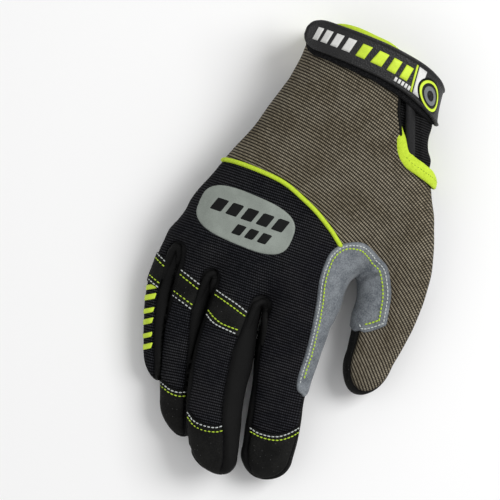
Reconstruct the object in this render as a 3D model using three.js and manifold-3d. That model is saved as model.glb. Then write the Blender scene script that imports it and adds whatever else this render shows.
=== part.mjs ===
// A right-hand anti vibration work glove, lying palm down as it rests by itself.
// Millimetres, +Z up, fingers towards -Y, cuff towards +Y, thumb on the +X side.
// Every panel, patch, pad, band, binding and strap is a solid of its own.

import * as THREE from 'three';
import { mergeVertices } from 'three/addons/utils/BufferGeometryUtils.js';
import Module from 'manifold-3d';

const wasm = await Module();
wasm.setup();

// Main sizes of the filled glove
const PALM_LENGTH = 154; // knuckle fork to cuff rim
const PALM_WIDTH = 98;
const PALM_DEPTH = 42;
const CUFF_WIDTH = 77;
const CUFF_DEPTH = 50;
const THUMB_LENGTH = 59; // thumb fork to thumb tip
const THUMB_WIDTH = 35;
const THUMB_DEPTH = 27;

// Thicknesses
const WALL = 1.6; // shell fabric with its lining
const OVERLAY = 1.2; // sewn-on suede
const PAD = 2.6; // gel pads under the palm
const PRINT = 0.5; // reflective film
const GAP = 0.3; // between pieces that touch
const FACET_PLAY = 0.3; // more room where two faceted curves lie over each other
const FINGER_GAP = 0.9; // between fingers pressed side by side

// Bindings, pipings and strap
const BINDING_WIDTH = 4.6;
const BINDING_THICKNESS = 3.2;
const PIPING_DIAMETER = 2.3;
const STRAP_WIDTH = 19;
const STRAP_EDGE = 2.6; // how far the hook tape shows beside the tab
const TAPE_THICKNESS = 1.7;
const TAB_THICKNESS = 1.9;
const BADGE_DIAMETER = 13;
const BADGE_ANGLE = 30; // degrees round the wrist
const RELIEF = 0.6; // how far the badge stands out

// Knuckle bands, fingertip caps and reflective patch
const BAND_WIDTH = 17;
const REFLECTIVE_LENGTH = 54;
const REFLECTIVE_WIDTH = 28;
const HEEL_PAD_DIAMETER = 25;

// Bluntness of the sections: 2 is an ellipse, more is squarer
const TOP_POWER = 2.25;
const PALM_BASE_POWER = 4.5;
const FINGER_BASE_POWER = 2.5;

// Facets
const BODY_SIDES = { outer: 20, inner: 12 };
const FINGER_SIDES = { outer: 10, inner: 8 };
const NOSE_STEPS = 3;
const ROD_SIDES = 6;

// The palm and cuff, from the cuff end to the knuckle fork.
// y is a share of PALM_LENGTH; middle a share of PALM_WIDTH; width, low and depth are shares of the palm's
// or cuff's own size, and cuff says how far the row follows the cuff's.
const PALM_ROWS = [
  { y: 0.9, middle: 0.025, width: 0.96, low: 0.06, depth: 0.96, cuff: 1 },
  { y: 0.818, middle: 0.022, width: 0.945, low: 0.06, depth: 0.96, cuff: 1 },
  { y: 0.682, middle: 0.023, width: 0.965, low: 0.06, depth: 0.94, cuff: 1 },
  { y: 0.6, middle: 0.024, width: 0.97, low: 0.062, depth: 0.94, cuff: 0.8 },
  { y: 0.552, middle: 0.031, width: 0.995, low: 0.064, depth: 0.96, cuff: 0.6 },
  { y: 0.468, middle: 0.035, width: 1.02, low: 0.056, depth: 0.98, cuff: 0.3 },
  { y: 0.39, middle: 0.033, width: 1.026, low: 0.048, depth: 1.01, cuff: 0 },
  { y: 0.292, middle: 0.0, width: 1.1, low: 0.024, depth: 1.01, cuff: 0 },
  { y: 0.195, middle: -0.064, width: 1.085, low: 0.024, depth: 1.0, cuff: 0 },
  { y: 0.078, middle: -0.161, width: 1.036, low: 0.024, depth: 1.0, cuff: 0 },
  { y: 0.0, middle: -0.198, width: 0.98, low: 0.024, depth: 0.99, cuff: 0 },
  { y: -0.065, middle: -0.212, width: 0.955, low: 0.036, depth: 0.92, cuff: 0 },
  { y: -0.117, middle: -0.156, width: 0.825, low: 0.071, depth: 0.77, cuff: 0 },
  { y: -0.162, middle: -0.091, width: 0.59, low: 0.167, depth: 0.5, cuff: 0 },
];
const PALM_NOSE = { length: 0.032, drift: -0.03, drop: 0 };

// Thumb and fingers, from inside the palm to the shoulder of the tip.
// at is a share of the length from the fork; aside and rise are shares of the length off the root's centre;
// width and depth are shares of the digit's own; root is in shares of the palm's three sizes.
const DIGITS = {
  thumb: {
    length: THUMB_LENGTH,
    width: THUMB_WIDTH,
    depth: THUMB_DEPTH,
    root: { x: 0.544, y: 0, z: 0.357 },
    nose: { length: 0.36, drift: -0.017, drop: -0.01 },
    rows: [
      { at: -0.98, aside: -0.3, rise: 0.085, width: 0.8, depth: 1.04 },
      { at: -0.76, aside: -0.196, rise: 0.06, width: 0.98, depth: 1.1 },
      { at: -0.51, aside: -0.073, rise: 0.026, width: 0.97, depth: 1.07 },
      { at: -0.25, aside: -0.017, rise: 0.008, width: 1.01, depth: 1.04 },
      { at: 0, aside: 0, rise: 0, width: 1.0, depth: 1.0 },
      { at: 0.2, aside: 0.012, rise: -0.008, width: 0.93, depth: 0.96 },
      { at: 0.42, aside: 0.007, rise: -0.017, width: 0.87, depth: 0.92 },
      { at: 0.64, aside: -0.005, rise: -0.03, width: 0.755, depth: 0.87 },
    ],
  },
  index: {
    length: 91,
    width: 33.5,
    depth: 20,
    root: { x: 0.088, y: -0.182, z: 0.488 },
    nose: { length: 0.15, drift: -0.004, drop: -0.014 },
    rows: [
      { at: -0.5, aside: -0.04, rise: 0.016, width: 0.78, depth: 1.8 },
      { at: -0.2, aside: -0.012, rise: 0.016, width: 0.95, depth: 1.82 },
      { at: 0, aside: -0.003, rise: 0.008, width: 1.04, depth: 1.58 },
      { at: 0.24, aside: 0.004, rise: -0.016, width: 1.02, depth: 1.08 },
      { at: 0.46, aside: 0.035, rise: -0.033, width: 0.884, depth: 0.95 },
      { at: 0.68, aside: 0.074, rise: -0.055, width: 0.905, depth: 0.92 },
      { at: 0.85, aside: 0.098, rise: -0.074, width: 0.85, depth: 0.88 },
    ],
  },
  middle: {
    length: 99.5,
    width: 32,
    depth: 19,
    root: { x: -0.263, y: -0.162, z: 0.548 },
    nose: { length: 0.13, drift: 0.045, drop: -0.005 },
    rows: [
      { at: -0.45, aside: 0.03, rise: -0.01, width: 0.81, depth: 1.8 },
      { at: -0.15, aside: 0.008, rise: -0.005, width: 0.875, depth: 1.8 },
      { at: 0, aside: 0, rise: 0, width: 0.875, depth: 1.5 },
      { at: 0.15, aside: 0.012, rise: 0, width: 0.91, depth: 1.22 },
      { at: 0.35, aside: 0.034, rise: -0.003, width: 1.01, depth: 1.05 },
      { at: 0.55, aside: 0.056, rise: -0.005, width: 1.0, depth: 1.0 },
      { at: 0.75, aside: 0.105, rise: -0.01, width: 0.97, depth: 0.98 },
      { at: 0.87, aside: 0.145, rise: -0.015, width: 0.88, depth: 0.95 },
    ],
  },
  ring: {
    length: 93.5,
    width: 21,
    depth: 19,
    root: { x: -0.526, y: -0.117, z: 0.429 },
    nose: { length: 0.16, drift: 0.05, drop: -0.005 },
    rows: [
      { at: -0.4, aside: 0.06, rise: 0.016, width: 0.98, depth: 1.8 },
      { at: -0.1, aside: 0.012, rise: 0.005, width: 1.05, depth: 1.85 },
      { at: 0, aside: 0.008, rise: 0, width: 1.08, depth: 1.55 },
      { at: 0.24, aside: 0.026, rise: -0.02, width: 1.06, depth: 1.12 },
      { at: 0.45, aside: 0.046, rise: -0.045, width: 1.0, depth: 1.01 },
      { at: 0.66, aside: 0.105, rise: -0.064, width: 1.01, depth: 0.98 },
      { at: 0.84, aside: 0.16, rise: -0.077, width: 1.0, depth: 0.95 },
    ],
  },
  little: {
    length: 79,
    width: 18,
    depth: 17,
    root: { x: -0.653, y: -0.052, z: 0.329 },
    nose: { length: 0.17, drift: 0.061, drop: -0.005 },
    rows: [
      { at: -0.45, aside: 0.2, rise: 0.06, width: 0.85, depth: 1.6 },
      { at: -0.1, aside: 0.058, rise: 0.02, width: 0.98, depth: 1.75 },
      { at: 0, aside: 0.015, rise: 0.005, width: 1.0, depth: 1.5 },
      { at: 0.15, aside: -0.011, rise: -0.014, width: 1.0, depth: 1.22 },
      { at: 0.4, aside: -0.014, rise: -0.038, width: 0.99, depth: 1.01 },
      { at: 0.65, aside: 0.032, rise: -0.05, width: 0.89, depth: 0.97 },
      { at: 0.83, aside: 0.089, rise: -0.058, width: 0.845, depth: 0.9 },
    ],
  },
};
const FINGERS = ['little', 'ring', 'middle', 'index'];

// The black inner sleeve that bridges the slit at the thumb side of the cuff.
// y is a share of PALM_LENGTH; right is its thumb-side edge, a share of PALM_WIDTH.
const GUSSET_ROWS = [
  { y: 0.72, right: 0.385 },
  { y: 0.66, right: 0.395 },
  { y: 0.6, right: 0.425 },
  { y: 0.55, right: 0.442 },
  { y: 0.5, right: 0.462 },
  { y: 0.46, right: 0.485 },
  { y: 0.38, right: 0.508 },
];
const GUSSET_INSET = 3.4; // how far its top lies inside the shell
const GUSSET_THICKNESS = 1.2;
const GUSSET_SPAN = { from: -66, to: 64 }; // degrees round the cuff, 0 at the thumb side

// The cut edge of the cuff: its y, a share of PALM_LENGTH, round the section. 0 degrees is the thumb side,
// 90 the back of the hand, -90 the palm. Between 66 and 282 it is the plain rim.
const RIM_ROWS = [
  { angle: -78, y: 0.806 },
  { angle: -70, y: 0.79 },
  { angle: -62, y: 0.7 },
  { angle: -54, y: 0.56 },
  { angle: -44, y: 0.47 },
  { angle: -30, y: 0.425 },
  { angle: -14, y: 0.405 },
  { angle: 4, y: 0.4 },
  { angle: 22, y: 0.415 },
  { angle: 36, y: 0.428 },
  { angle: 46, y: 0.445 },
  { angle: 52, y: 0.475 },
  { angle: 56, y: 0.53 },
  { angle: 60, y: 0.615 },
  { angle: 65, y: 0.7 },
  { angle: 71, y: 0.775 },
  { angle: 80, y: 0.803 },
  { angle: 95, y: 0.808 },
  { angle: 120, y: 0.8 },
  { angle: 145, y: 0.775 },
  { angle: 180, y: 0.765 },
  { angle: 215, y: 0.775 },
  { angle: 245, y: 0.79 },
];

// Strap centre line: y, a share of PALM_LENGTH, and width, a share of STRAP_WIDTH, round the wrist.
const STRAP_ROWS = [
  { angle: -40, y: 0.61, width: 0.9 },
  { angle: -14, y: 0.625, width: 0.95 },
  { angle: 8, y: 0.645, width: 0.97 },
  { angle: 30, y: 0.672, width: 1.0 },
  { angle: 48, y: 0.708, width: 1.03 },
  { angle: 66, y: 0.734, width: 1.0 },
  { angle: 92, y: 0.755, width: 0.94 },
  { angle: 125, y: 0.764, width: 0.9 },
  { angle: 172, y: 0.768, width: 0.9 },
];
const TAB_SPAN = { from: -12, to: 162 };
const TAPE_SPAN = { from: -40, to: 164 };
const TAB_ROUNDING = 30; // degrees of wrist over which the tab's free end rounds off

// The seam under the piping, across the back of the hand, in shares of PALM_WIDTH and PALM_LENGTH
const PIPING_LINE = [
  { x: -0.57, y: 0.247 },
  { x: -0.46, y: 0.252 },
  { x: -0.31, y: 0.246 },
  { x: -0.2, y: 0.233 },
  { x: -0.1, y: 0.208 },
  { x: 0, y: 0.175 },
  { x: 0.1, y: 0.133 },
  { x: 0.19, y: 0.085 },
];
// From the piping's end the seam runs under the thumb patch, down into the thumb fork
const HIDDEN_SEAM = [
  { x: 0.24, y: 0.055 },
  { x: 0.31, y: 0.007 },
  { x: 0.335, y: -0.04 },
];

// The suede patch round the thumb fork, on the back and on the palm side
const FORK_PATCH_BACK = [
  { x: 0.327, y: -0.455 },
  { x: 0.215, y: -0.43 },
  { x: 0.2, y: -0.39 },
  { x: 0.193, y: -0.29 },
  { x: 0.177, y: -0.195 },
  { x: 0.158, y: -0.117 },
  { x: 0.136, y: -0.052 },
  { x: 0.135, y: 0.013 },
  { x: 0.153, y: 0.065 },
  { x: 0.194, y: 0.104 },
  { x: 0.255, y: 0.123 },
  { x: 0.316, y: 0.125 },
  { x: 0.388, y: 0.107 },
  { x: 0.459, y: 0.071 },
  { x: 0.51, y: 0.026 },
  { x: 0.54, y: -0.032 },
  { x: 0.556, y: -0.09 },
  { x: 0.551, y: -0.123 },
  { x: 0.51, y: -0.15 },
  { x: 0.44, y: -0.17 },
  { x: 0.327, y: -0.16 },
];
const FORK_PATCH_PALM = [
  { x: 0.327, y: -0.42 },
  { x: 0.215, y: -0.4 },
  { x: 0.2, y: -0.36 },
  { x: 0.2, y: -0.29 },
  { x: 0.22, y: -0.24 },
  { x: 0.255, y: -0.19 },
  { x: 0.27, y: -0.06 },
  { x: 0.275, y: 0.013 },
  { x: 0.3, y: 0.058 },
  { x: 0.35, y: 0.052 },
  { x: 0.4, y: 0 },
  { x: 0.42, y: -0.078 },
  { x: 0.41, y: -0.14 },
  { x: 0.327, y: -0.16 },
];

// The scalloped suede over the palm, with two slots that open towards the thumb
const PALM_PATCH = [
  { x: 0.235, y: -0.175 },
  { x: 0.194, y: -0.205 },
  { x: 0.133, y: -0.214 },
  { x: 0.061, y: -0.192 },
  { x: -0.02, y: -0.146 },
  { x: -0.087, y: -0.168 },
  { x: -0.153, y: -0.175 },
  { x: -0.214, y: -0.153 },
  { x: -0.265, y: -0.13 },
  { x: -0.316, y: -0.162 },
  { x: -0.378, y: -0.188 },
  { x: -0.444, y: -0.172 },
  { x: -0.52, y: -0.12 },
  { x: -0.582, y: -0.15 },
  { x: -0.66, y: -0.15 },
  { x: -0.78, y: -0.1 },
  { x: -0.82, y: 0.227 },
  { x: -0.59, y: 0.292 },
  { x: -0.55, y: 0.377 },
  { x: -0.46, y: 0.468 },
  { x: -0.337, y: 0.532 },
  { x: -0.204, y: 0.568 },
  { x: -0.082, y: 0.568 },
  { x: 0.04, y: 0.532 },
  { x: 0.143, y: 0.48 },
  { x: 0.214, y: 0.416 },
  { x: 0.26, y: 0.338 },
  { x: 0.27, y: 0.292 },
  { x: 0.255, y: 0.25 },
  { x: 0.204, y: 0.232 },
  { x: 0, y: 0.24 },
  { x: -0.204, y: 0.256 },
  { x: -0.32, y: 0.266 },
  { x: -0.332, y: 0.25 },
  { x: -0.286, y: 0.237 },
  { x: -0.1, y: 0.208 },
  { x: 0.051, y: 0.175 },
  { x: 0.102, y: 0.156 },
  { x: 0.112, y: 0.142 },
  { x: 0.082, y: 0.129 },
  { x: -0.1, y: 0.127 },
  { x: -0.306, y: 0.133 },
  { x: -0.337, y: 0.12 },
  { x: -0.316, y: 0.107 },
  { x: -0.1, y: 0.097 },
  { x: 0.1, y: 0.09 },
  { x: 0.19, y: 0.087 },
  { x: 0.235, y: 0.05 },
  { x: 0.245, y: -0.065 },
];

// Gel pads, outlines in the same shares
const GEL_PADS = {
  pad_index_base: [
    { x: 0.18, y: -0.103 },
    { x: 0.147, y: -0.119 },
    { x: 0.089, y: -0.092 },
    { x: -0.015, y: -0.07 },
    { x: 0, y: 0.007 },
    { x: 0.03, y: 0.018 },
    { x: 0.18, y: 0.016 },
  ],
  pad_middle_base: [
    { x: -0.103, y: -0.091 },
    { x: -0.136, y: -0.114 },
    { x: -0.165, y: -0.091 },
    { x: -0.195, y: 0.007 },
    { x: -0.178, y: 0.032 },
    { x: -0.066, y: 0.029 },
    { x: -0.059, y: 0.007 },
    { x: -0.089, y: -0.07 },
  ],
  pad_ring_base: [
    { x: -0.324, y: -0.091 },
    { x: -0.357, y: -0.116 },
    { x: -0.391, y: -0.091 },
    { x: -0.413, y: 0.018 },
    { x: -0.398, y: 0.04 },
    { x: -0.295, y: 0.038 },
    { x: -0.291, y: 0.018 },
    { x: -0.31, y: -0.048 },
  ],
  pad_little_base: [
    { x: -0.571, y: -0.1 },
    { x: -0.628, y: -0.095 },
    { x: -0.638, y: -0.06 },
    { x: -0.625, y: 0.095 },
    { x: -0.61, y: 0.106 },
    { x: -0.546, y: 0.101 },
    { x: -0.536, y: 0.051 },
    { x: -0.474, y: 0.007 },
    { x: -0.48, y: -0.031 },
    { x: -0.546, y: -0.048 },
    { x: -0.564, y: -0.08 },
  ],
  pad_wedge: [
    { x: -0.404, y: 0.166 },
    { x: -0.431, y: 0.155 },
    { x: -0.575, y: 0.155 },
    { x: -0.56, y: 0.26 },
    { x: -0.535, y: 0.253 },
    { x: -0.417, y: 0.199 },
  ],
  pad_heel_outer: [
    { x: -0.396, y: 0.275 },
    { x: -0.489, y: 0.3 },
    { x: -0.489, y: 0.336 },
    { x: -0.445, y: 0.424 },
    { x: -0.349, y: 0.49 },
    { x: -0.323, y: 0.468 },
    { x: -0.342, y: 0.413 },
    { x: -0.323, y: 0.347 },
    { x: -0.349, y: 0.32 },
  ],
  pad_heel_inner: [
    { x: 0.194, y: 0.314 },
    { x: 0.168, y: 0.295 },
    { x: 0.024, y: 0.303 },
    { x: 0.004, y: 0.325 },
    { x: 0.024, y: 0.44 },
    { x: 0.051, y: 0.455 },
    { x: 0.086, y: 0.446 },
    { x: 0.168, y: 0.38 },
  ],
};
const HEEL_PAD_CENTRE = { x: -0.133, y: 0.418 };

// Suede over the thumb's outer side, on the palm side only
const THUMB_PATCH = [
  { x: 0.56, y: 0.06 },
  { x: 0.9, y: 0.05 },
  { x: 0.9, y: 0.33 },
  { x: 0.5, y: 0.34 },
  { x: 0.48, y: 0.3 },
  { x: 0.54, y: 0.18 },
];

const REFLECTIVE_CENTRE = { x: -0.355, y: 0.07 };
const REFLECTIVE_TURN = -4; // degrees

// Where things lie along the fingers, as shares of each finger's length from its fork
const CAP_START = { index: 0.735, middle: 0.765, ring: 0.755 };
const BAND_CENTRE = { middle: 0.13, ring: 0.18, little: 0.27 };
const BAND_SLANT = { middle: -0.05, ring: -0.05, little: -0.04 };
const TIP_PADS = {
  index: { from: 0.62, to: 0.93 },
  middle: { from: 0.7, to: 0.96 },
  ring: { from: 0.68, to: 0.94 },
  little: { from: 0.66, to: 0.93 },
};
const JOINT_PADS = {
  middle: { from: 0.5, to: 0.64 },
  ring: { from: 0.48, to: 0.61 },
};
const TIP_PAD_SPREAD = 0.72; // share of the finger's half width
// Side seams of the fingers, as shares of the half width: the back panel sits towards the little finger
const SEAM = { backThumbSide: 0.36, backLittleSide: 0.8, palm: 0.84 };
const FORK_ROUND = 7; // how far the side strips run past the fork
// The forks between the fingers, in shares of PALM_WIDTH and PALM_LENGTH
const FORKS = [
  { left: 'little', right: 'ring', x: -0.645, y: -0.1, width: 8.5 },
  { left: 'ring', right: 'middle', x: -0.423, y: -0.155, width: 9 },
  { left: 'middle', right: 'index', x: -0.122, y: -0.195, width: 10.5 },
];

// Where the wrist piece of the palm starts, and how high side seams lie, as shares
const WRIST_SEAM = 0.62; // of PALM_LENGTH
const SIDE_SEAM = 0.4; // of the local depth
const THUMB_SEAM = { inner: 0.35, outer: -0.1 }; // of the thumb's half depth, off its centre
const PATCH_SEAM = 0.13; // how far up the sides the palm suede reaches, of the palm's depth
const PATCH_REACH = 0.36; // the same for the thumb's suede, of the thumb's depth

// Heights of the stack under the flattened palm
const PATCH_FLOOR = PAD + GAP;
const PALM_FLOOR = PATCH_FLOOR + OVERLAY + GAP;
const FAR = 400; // larger than the glove, for cutting solids
const DEGREE = Math.PI / 180;

const COLOUR = {
  taupe: 0x5f5a4f,
  black: 0x15161a,
  leather: 0x1b1b1c,
  suede: 0x7d8188,
  lime: 0xcbe83a,
  ivory: 0xcfc8bb,
  silver: 0x9aa09b,
  white: 0xe8e8e8,
};

// Smooth value between table rows, by a cubic through the rows' points
function smooth(rows, key, value, column) {
  const last = rows.length - 1;
  const rising = rows[last][key] > rows[0][key];
  let i = 0;
  while (i < last - 1 && (rising ? rows[i + 1][key] < value : rows[i + 1][key] > value)) i += 1;
  const slope = (k) => {
    const a = rows[Math.max(0, k - 1)];
    const b = rows[Math.min(last, k + 1)];
    return (b[column] - a[column]) / (b[key] - a[key]);
  };
  const width = rows[i + 1][key] - rows[i][key];
  const t = THREE.MathUtils.clamp((value - rows[i][key]) / width, 0, 1);
  const [p, q] = [rows[i][column], rows[i + 1][column]];
  const [m, n] = [slope(i) * width, slope(i + 1) * width];
  return (
    (2 * t ** 3 - 3 * t ** 2 + 1) * p +
    (t ** 3 - 2 * t ** 2 + t) * m +
    (3 * t ** 2 - 2 * t ** 3) * q +
    (t ** 3 - t ** 2) * n
  );
}

const mix = THREE.MathUtils.lerp;
const plan = ({ x, y }) => new THREE.Vector2(x * PALM_WIDTH, y * PALM_LENGTH);

// Section of the palm and cuff at a y in millimetres: centre, half width and half depth
function palmSection(y) {
  const row = (column) => smooth(PALM_ROWS, 'y', y / PALM_LENGTH, column);
  const cuff = row('cuff');
  const depth = mix(PALM_DEPTH, CUFF_DEPTH, cuff);
  const half = (row('depth') * depth) / 2;
  return {
    x: row('middle') * PALM_WIDTH,
    z: row('low') * depth + half,
    a: (row('width') * mix(PALM_WIDTH, CUFF_WIDTH, cuff)) / 2,
    b: half,
  };
}

// Section of a digit at a share of its length
function digitSection(digit, at) {
  const row = (column) => smooth(digit.rows, 'at', at, column);
  return {
    x: digit.root.x * PALM_WIDTH + row('aside') * digit.length,
    z: digit.root.z * PALM_DEPTH + row('rise') * digit.length,
    a: (row('width') * digit.width) / 2,
    b: (row('depth') * digit.depth) / 2,
  };
}

const digitY = (digit, at) => digit.root.y * PALM_LENGTH - at * digit.length;

// A point round a section: rounder above, squarer below; grow moves it out
function roundSection(section, angle, grow, basePower) {
  const [c, s] = [Math.cos(angle), Math.sin(angle)];
  const power = s < 0 ? basePower : TOP_POWER;
  const bend = (v) => Math.sign(v) * Math.abs(v) ** (2 / power);
  return [section.x + (section.a + grow) * bend(c), section.z + (section.b + grow) * bend(s)];
}

function toManifold(geometry) {
  const bare = new THREE.BufferGeometry();
  bare.setAttribute('position', geometry.getAttribute('position'));
  if (geometry.index) bare.setIndex(geometry.index);
  const merged = mergeVertices(bare, 1e-4);
  const mesh = new wasm.Mesh({
    numProp: 3,
    vertProperties: merged.attributes.position.array,
    triVerts: new Uint32Array(merged.index.array),
  });
  return new wasm.Manifold(mesh);
}

// A closed solid through rings of equal length, ordered along -Y; a ring of one point is a pole
function loft(rings) {
  const positions = rings.flat(2);
  const index = [];
  const starts = [];
  let count = 0;
  for (const ring of rings) {
    starts.push(count);
    count += ring.length;
  }
  for (let r = 0; r + 1 < rings.length; r += 1) {
    const [n, m] = [rings[r].length, rings[r + 1].length];
    const [p, q] = [starts[r], starts[r + 1]];
    for (let k = 0; k < Math.max(n, m); k += 1) {
      const next = (k + 1) % Math.max(n, m);
      if (n > 1) index.push(p + k, p + next, q + (m > 1 ? k : 0));
      if (m > 1) index.push(q + k, p + (n > 1 ? next : 0), q + next);
    }
  }
  // Flat ends
  for (const [r, start] of [[0, true], [rings.length - 1, false]]) {
    if (rings[r].length === 1) continue;
    const flat = rings[r].map((p) => new THREE.Vector2(p[0], p[2]));
    const flip = start !== THREE.ShapeUtils.isClockWise(flat);
    for (const [i, j, k] of THREE.ShapeUtils.triangulateShape(flat, [])) {
      const face = [i, j, k].map((v) => v + starts[r]);
      index.push(...(flip ? face.reverse() : face));
    }
  }
  const geometry = new THREE.BufferGeometry();
  geometry.setAttribute('position', new THREE.Float32BufferAttribute(positions, 3));
  geometry.setIndex(index);
  const solid = toManifold(geometry);
  if (solid.volume() > 0) return solid;
  geometry.setIndex(index.reverse());
  return toManifold(geometry);
}

function sectionRing(section, y, grow, sides, basePower) {
  return Array.from({ length: sides }, (_, k) => {
    const [x, z] = roundSection(section, (2 * Math.PI * k) / sides, grow, basePower);
    return [x, y, z];
  });
}

// Rings round the rounded end of a tube, and its pole
function noseRings(section, y, length, drift, drop, grow, sides, basePower) {
  const rings = [];
  for (let k = 1; k < NOSE_STEPS; k += 1) {
    const angle = (k * Math.PI) / 2 / NOSE_STEPS;
    const [along, shrink] = [Math.sin(angle), Math.cos(angle)];
    const part = {
      x: section.x + drift * along,
      z: section.z + drop * along,
      a: (section.a + grow) * shrink,
      b: (section.b + grow) * shrink,
    };
    rings.push(sectionRing(part, y - (length + grow) * along, 0, sides, basePower));
  }
  rings.push([[section.x + drift, y - length - grow, section.z + drop]]);
  return rings;
}

const facets = (sides, grow) => (grow < 0 ? sides.inner : sides.outer);

function palmSolid(grow) {
  const sides = facets(BODY_SIDES, grow);
  const rings = PALM_ROWS.map((row) => {
    const y = row.y * PALM_LENGTH;
    return sectionRing(palmSection(y), y, grow, sides, PALM_BASE_POWER);
  });
  const end = PALM_ROWS.at(-1).y * PALM_LENGTH;
  const length = PALM_NOSE.length * PALM_LENGTH;
  const drift = PALM_NOSE.drift * PALM_WIDTH;
  rings.push(...noseRings(palmSection(end), end, length, drift, 0, grow, sides, PALM_BASE_POWER));
  return loft(rings);
}

function digitSolid(name, grow) {
  const digit = DIGITS[name];
  const sides = facets(FINGER_SIDES, grow);
  const rings = digit.rows.map((row) => {
    const section = digitSection(digit, row.at);
    return sectionRing(section, digitY(digit, row.at), grow, sides, FINGER_BASE_POWER);
  });
  const shoulder = digit.rows.at(-1).at;
  const nose = ['length', 'drift', 'drop'].map((key) => digit.nose[key] * digit.length);
  const section = digitSection(digit, shoulder);
  const y = digitY(digit, shoulder);
  rings.push(...noseRings(section, y, ...nose, grow, sides, FINGER_BASE_POWER));
  return loft(rings);
}

function box(x0, y0, z0, x1, y1, z1) {
  const geometry = new THREE.BoxGeometry(x1 - x0, y1 - y0, z1 - z0);
  geometry.translate((x0 + x1) / 2, (y0 + y1) / 2, (z0 + z1) / 2);
  return toManifold(geometry);
}

// A plan outline carried from z0 to z1
function prism(outline, z0, z1) {
  const shape = new THREE.Shape(outline);
  const geometry = new THREE.ExtrudeGeometry(shape, { depth: z1 - z0, bevelEnabled: false });
  geometry.translate(0, 0, z0);
  return toManifold(geometry);
}

const union = (solids) => solids.reduce((sum, solid) => sum.add(solid));

// Each finger is pressed flat by the one that lies over it
function finger(name, grow, keepClear) {
  const over = { little: 'ring', ring: 'middle', index: 'middle' }[name];
  const own = digitSolid(name, grow);
  return over ? own.subtract(digitSolid(over, keepClear)) : own;
}

// The whole form at an offset, with its underside flattened where it rests
function form(grow, keepClear, floor) {
  const parts = [palmSolid(grow), digitSolid('thumb', grow)];
  for (const name of FINGERS) parts.push(finger(name, grow, keepClear));
  return union(parts).intersect(box(-FAR, -FAR, floor, FAR, FAR, FAR));
}

// Cuts
// The sheet through the middle of the digits and the side seams: the solid above it
function abovePartingSheet(shift) {
  const stations = [];
  const ends = [-1.1, 1.2].map((share) => share * PALM_LENGTH);
  const steps = 12;
  for (let k = 0; k <= steps; k += 1) {
    const y = mix(ends[1], ends[0], k / steps);
    const palm = palmSection(THREE.MathUtils.clamp(y, PALM_ROWS.at(-1).y * PALM_LENGTH, ends[1]));
    const lanes = [];
    const digitLane = (name) => {
      const digit = DIGITS[name];
      const at = (digitY(digit, 0) - y) / digit.length;
      return digitSection(digit, THREE.MathUtils.clamp(at, digit.rows[0].at, digit.rows.at(-1).at));
    };
    const seam = palm.z - palm.b + 2 * palm.b * SIDE_SEAM;
    const fork = DIGITS.index.root.y * PALM_LENGTH;
    const palmShare = THREE.MathUtils.smoothstep(y, fork, -fork);
    for (const name of FINGERS) {
      const lane = digitLane(name);
      lanes.push([lane.x, mix(lane.z, seam, palmShare)]);
    }
    const thumb = digitLane('thumb');
    const cuffShare = THREE.MathUtils.smoothstep(y, PALM_LENGTH * 0.25, PALM_LENGTH * 0.4);
    lanes.push([
      thumb.x - 0.9 * thumb.a,
      mix(thumb.z + THUMB_SEAM.inner * thumb.b, seam, cuffShare),
    ]);
    lanes.push([thumb.x + thumb.a, mix(thumb.z + THUMB_SEAM.outer * thumb.b, seam, cuffShare)]);
    stations.push([
      [-FAR, y, lanes[0][1] + shift],
      ...lanes.map(([x, z]) => [x, y, z + shift]),
      [FAR, y, lanes.at(-1)[1] + shift],
      [FAR, y, FAR],
      [-FAR, y, FAR],
    ]);
  }
  return loft(stations);
}

// One side of a finger, from the fork to the tip: towards the thumb or towards the little finger
function sideStrip(name, towardsThumb, gap) {
  const digit = DIGITS[name];
  const side = towardsThumb ? 1 : -1;
  const back = towardsThumb ? SEAM.backThumbSide : SEAM.backLittleSide;
  const stations = [];
  const shares = [-0.12, 0, 0.2, 0.4, 0.6, 0.8, 0.92, 1.05];
  for (const at of shares) {
    const section = digitSection(digit, Math.min(at, digit.rows.at(-1).at));
    const y = digitY(digit, at);
    const beyond = Math.max(0, at - digit.rows.at(-1).at) / digit.nose.length;
    const x = section.x + digit.nose.drift * digit.length * beyond;
    const across = (share) => x + side * (share * section.a - gap);
    const [low, high] = [section.z - 3 * section.b, section.z + 3 * section.b];
    const far = x + side * 1.6 * section.a;
    stations.push([
      [across(back), y, high],
      [across(back), y, section.z],
      [across(SEAM.palm), y, section.z],
      [across(SEAM.palm), y, low],
      [far, y, low],
      [far, y, high],
    ]);
  }
  return loft(stations);
}

// The region of one finger alone, beyond its fork
function fingerZone(name) {
  const digit = DIGITS[name];
  const fork = digitY(digit, 0) + FORK_ROUND;
  return finger(name, GAP, FINGER_GAP / 2).intersect(box(-FAR, -FAR, -FAR, FAR, fork, FAR));
}

// The web between two fingers, round the fork
function forkWeb({ x, y, width }, gap) {
  const centre = plan({ x, y });
  const half = width / 2 + gap;
  const round = Array.from({ length: 9 }, (_, k) => {
    const angle = (k * Math.PI) / 8;
    return new THREE.Vector2(centre.x + half * Math.cos(angle), centre.y + half * Math.sin(angle));
  });
  const foot = centre.y - FORK_ROUND;
  const left = new THREE.Vector2(centre.x - half, foot);
  const right = new THREE.Vector2(centre.x + half, foot);
  const outline = [...round, left, right];
  return prism(outline, -FAR, FAR);
}

// The largest body of a solid, without the crumbs that a cut leaves
function whole(solid) {
  return solid.decompose().reduce((best, body) => (body.volume() > best.volume() ? body : best));
}

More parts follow.
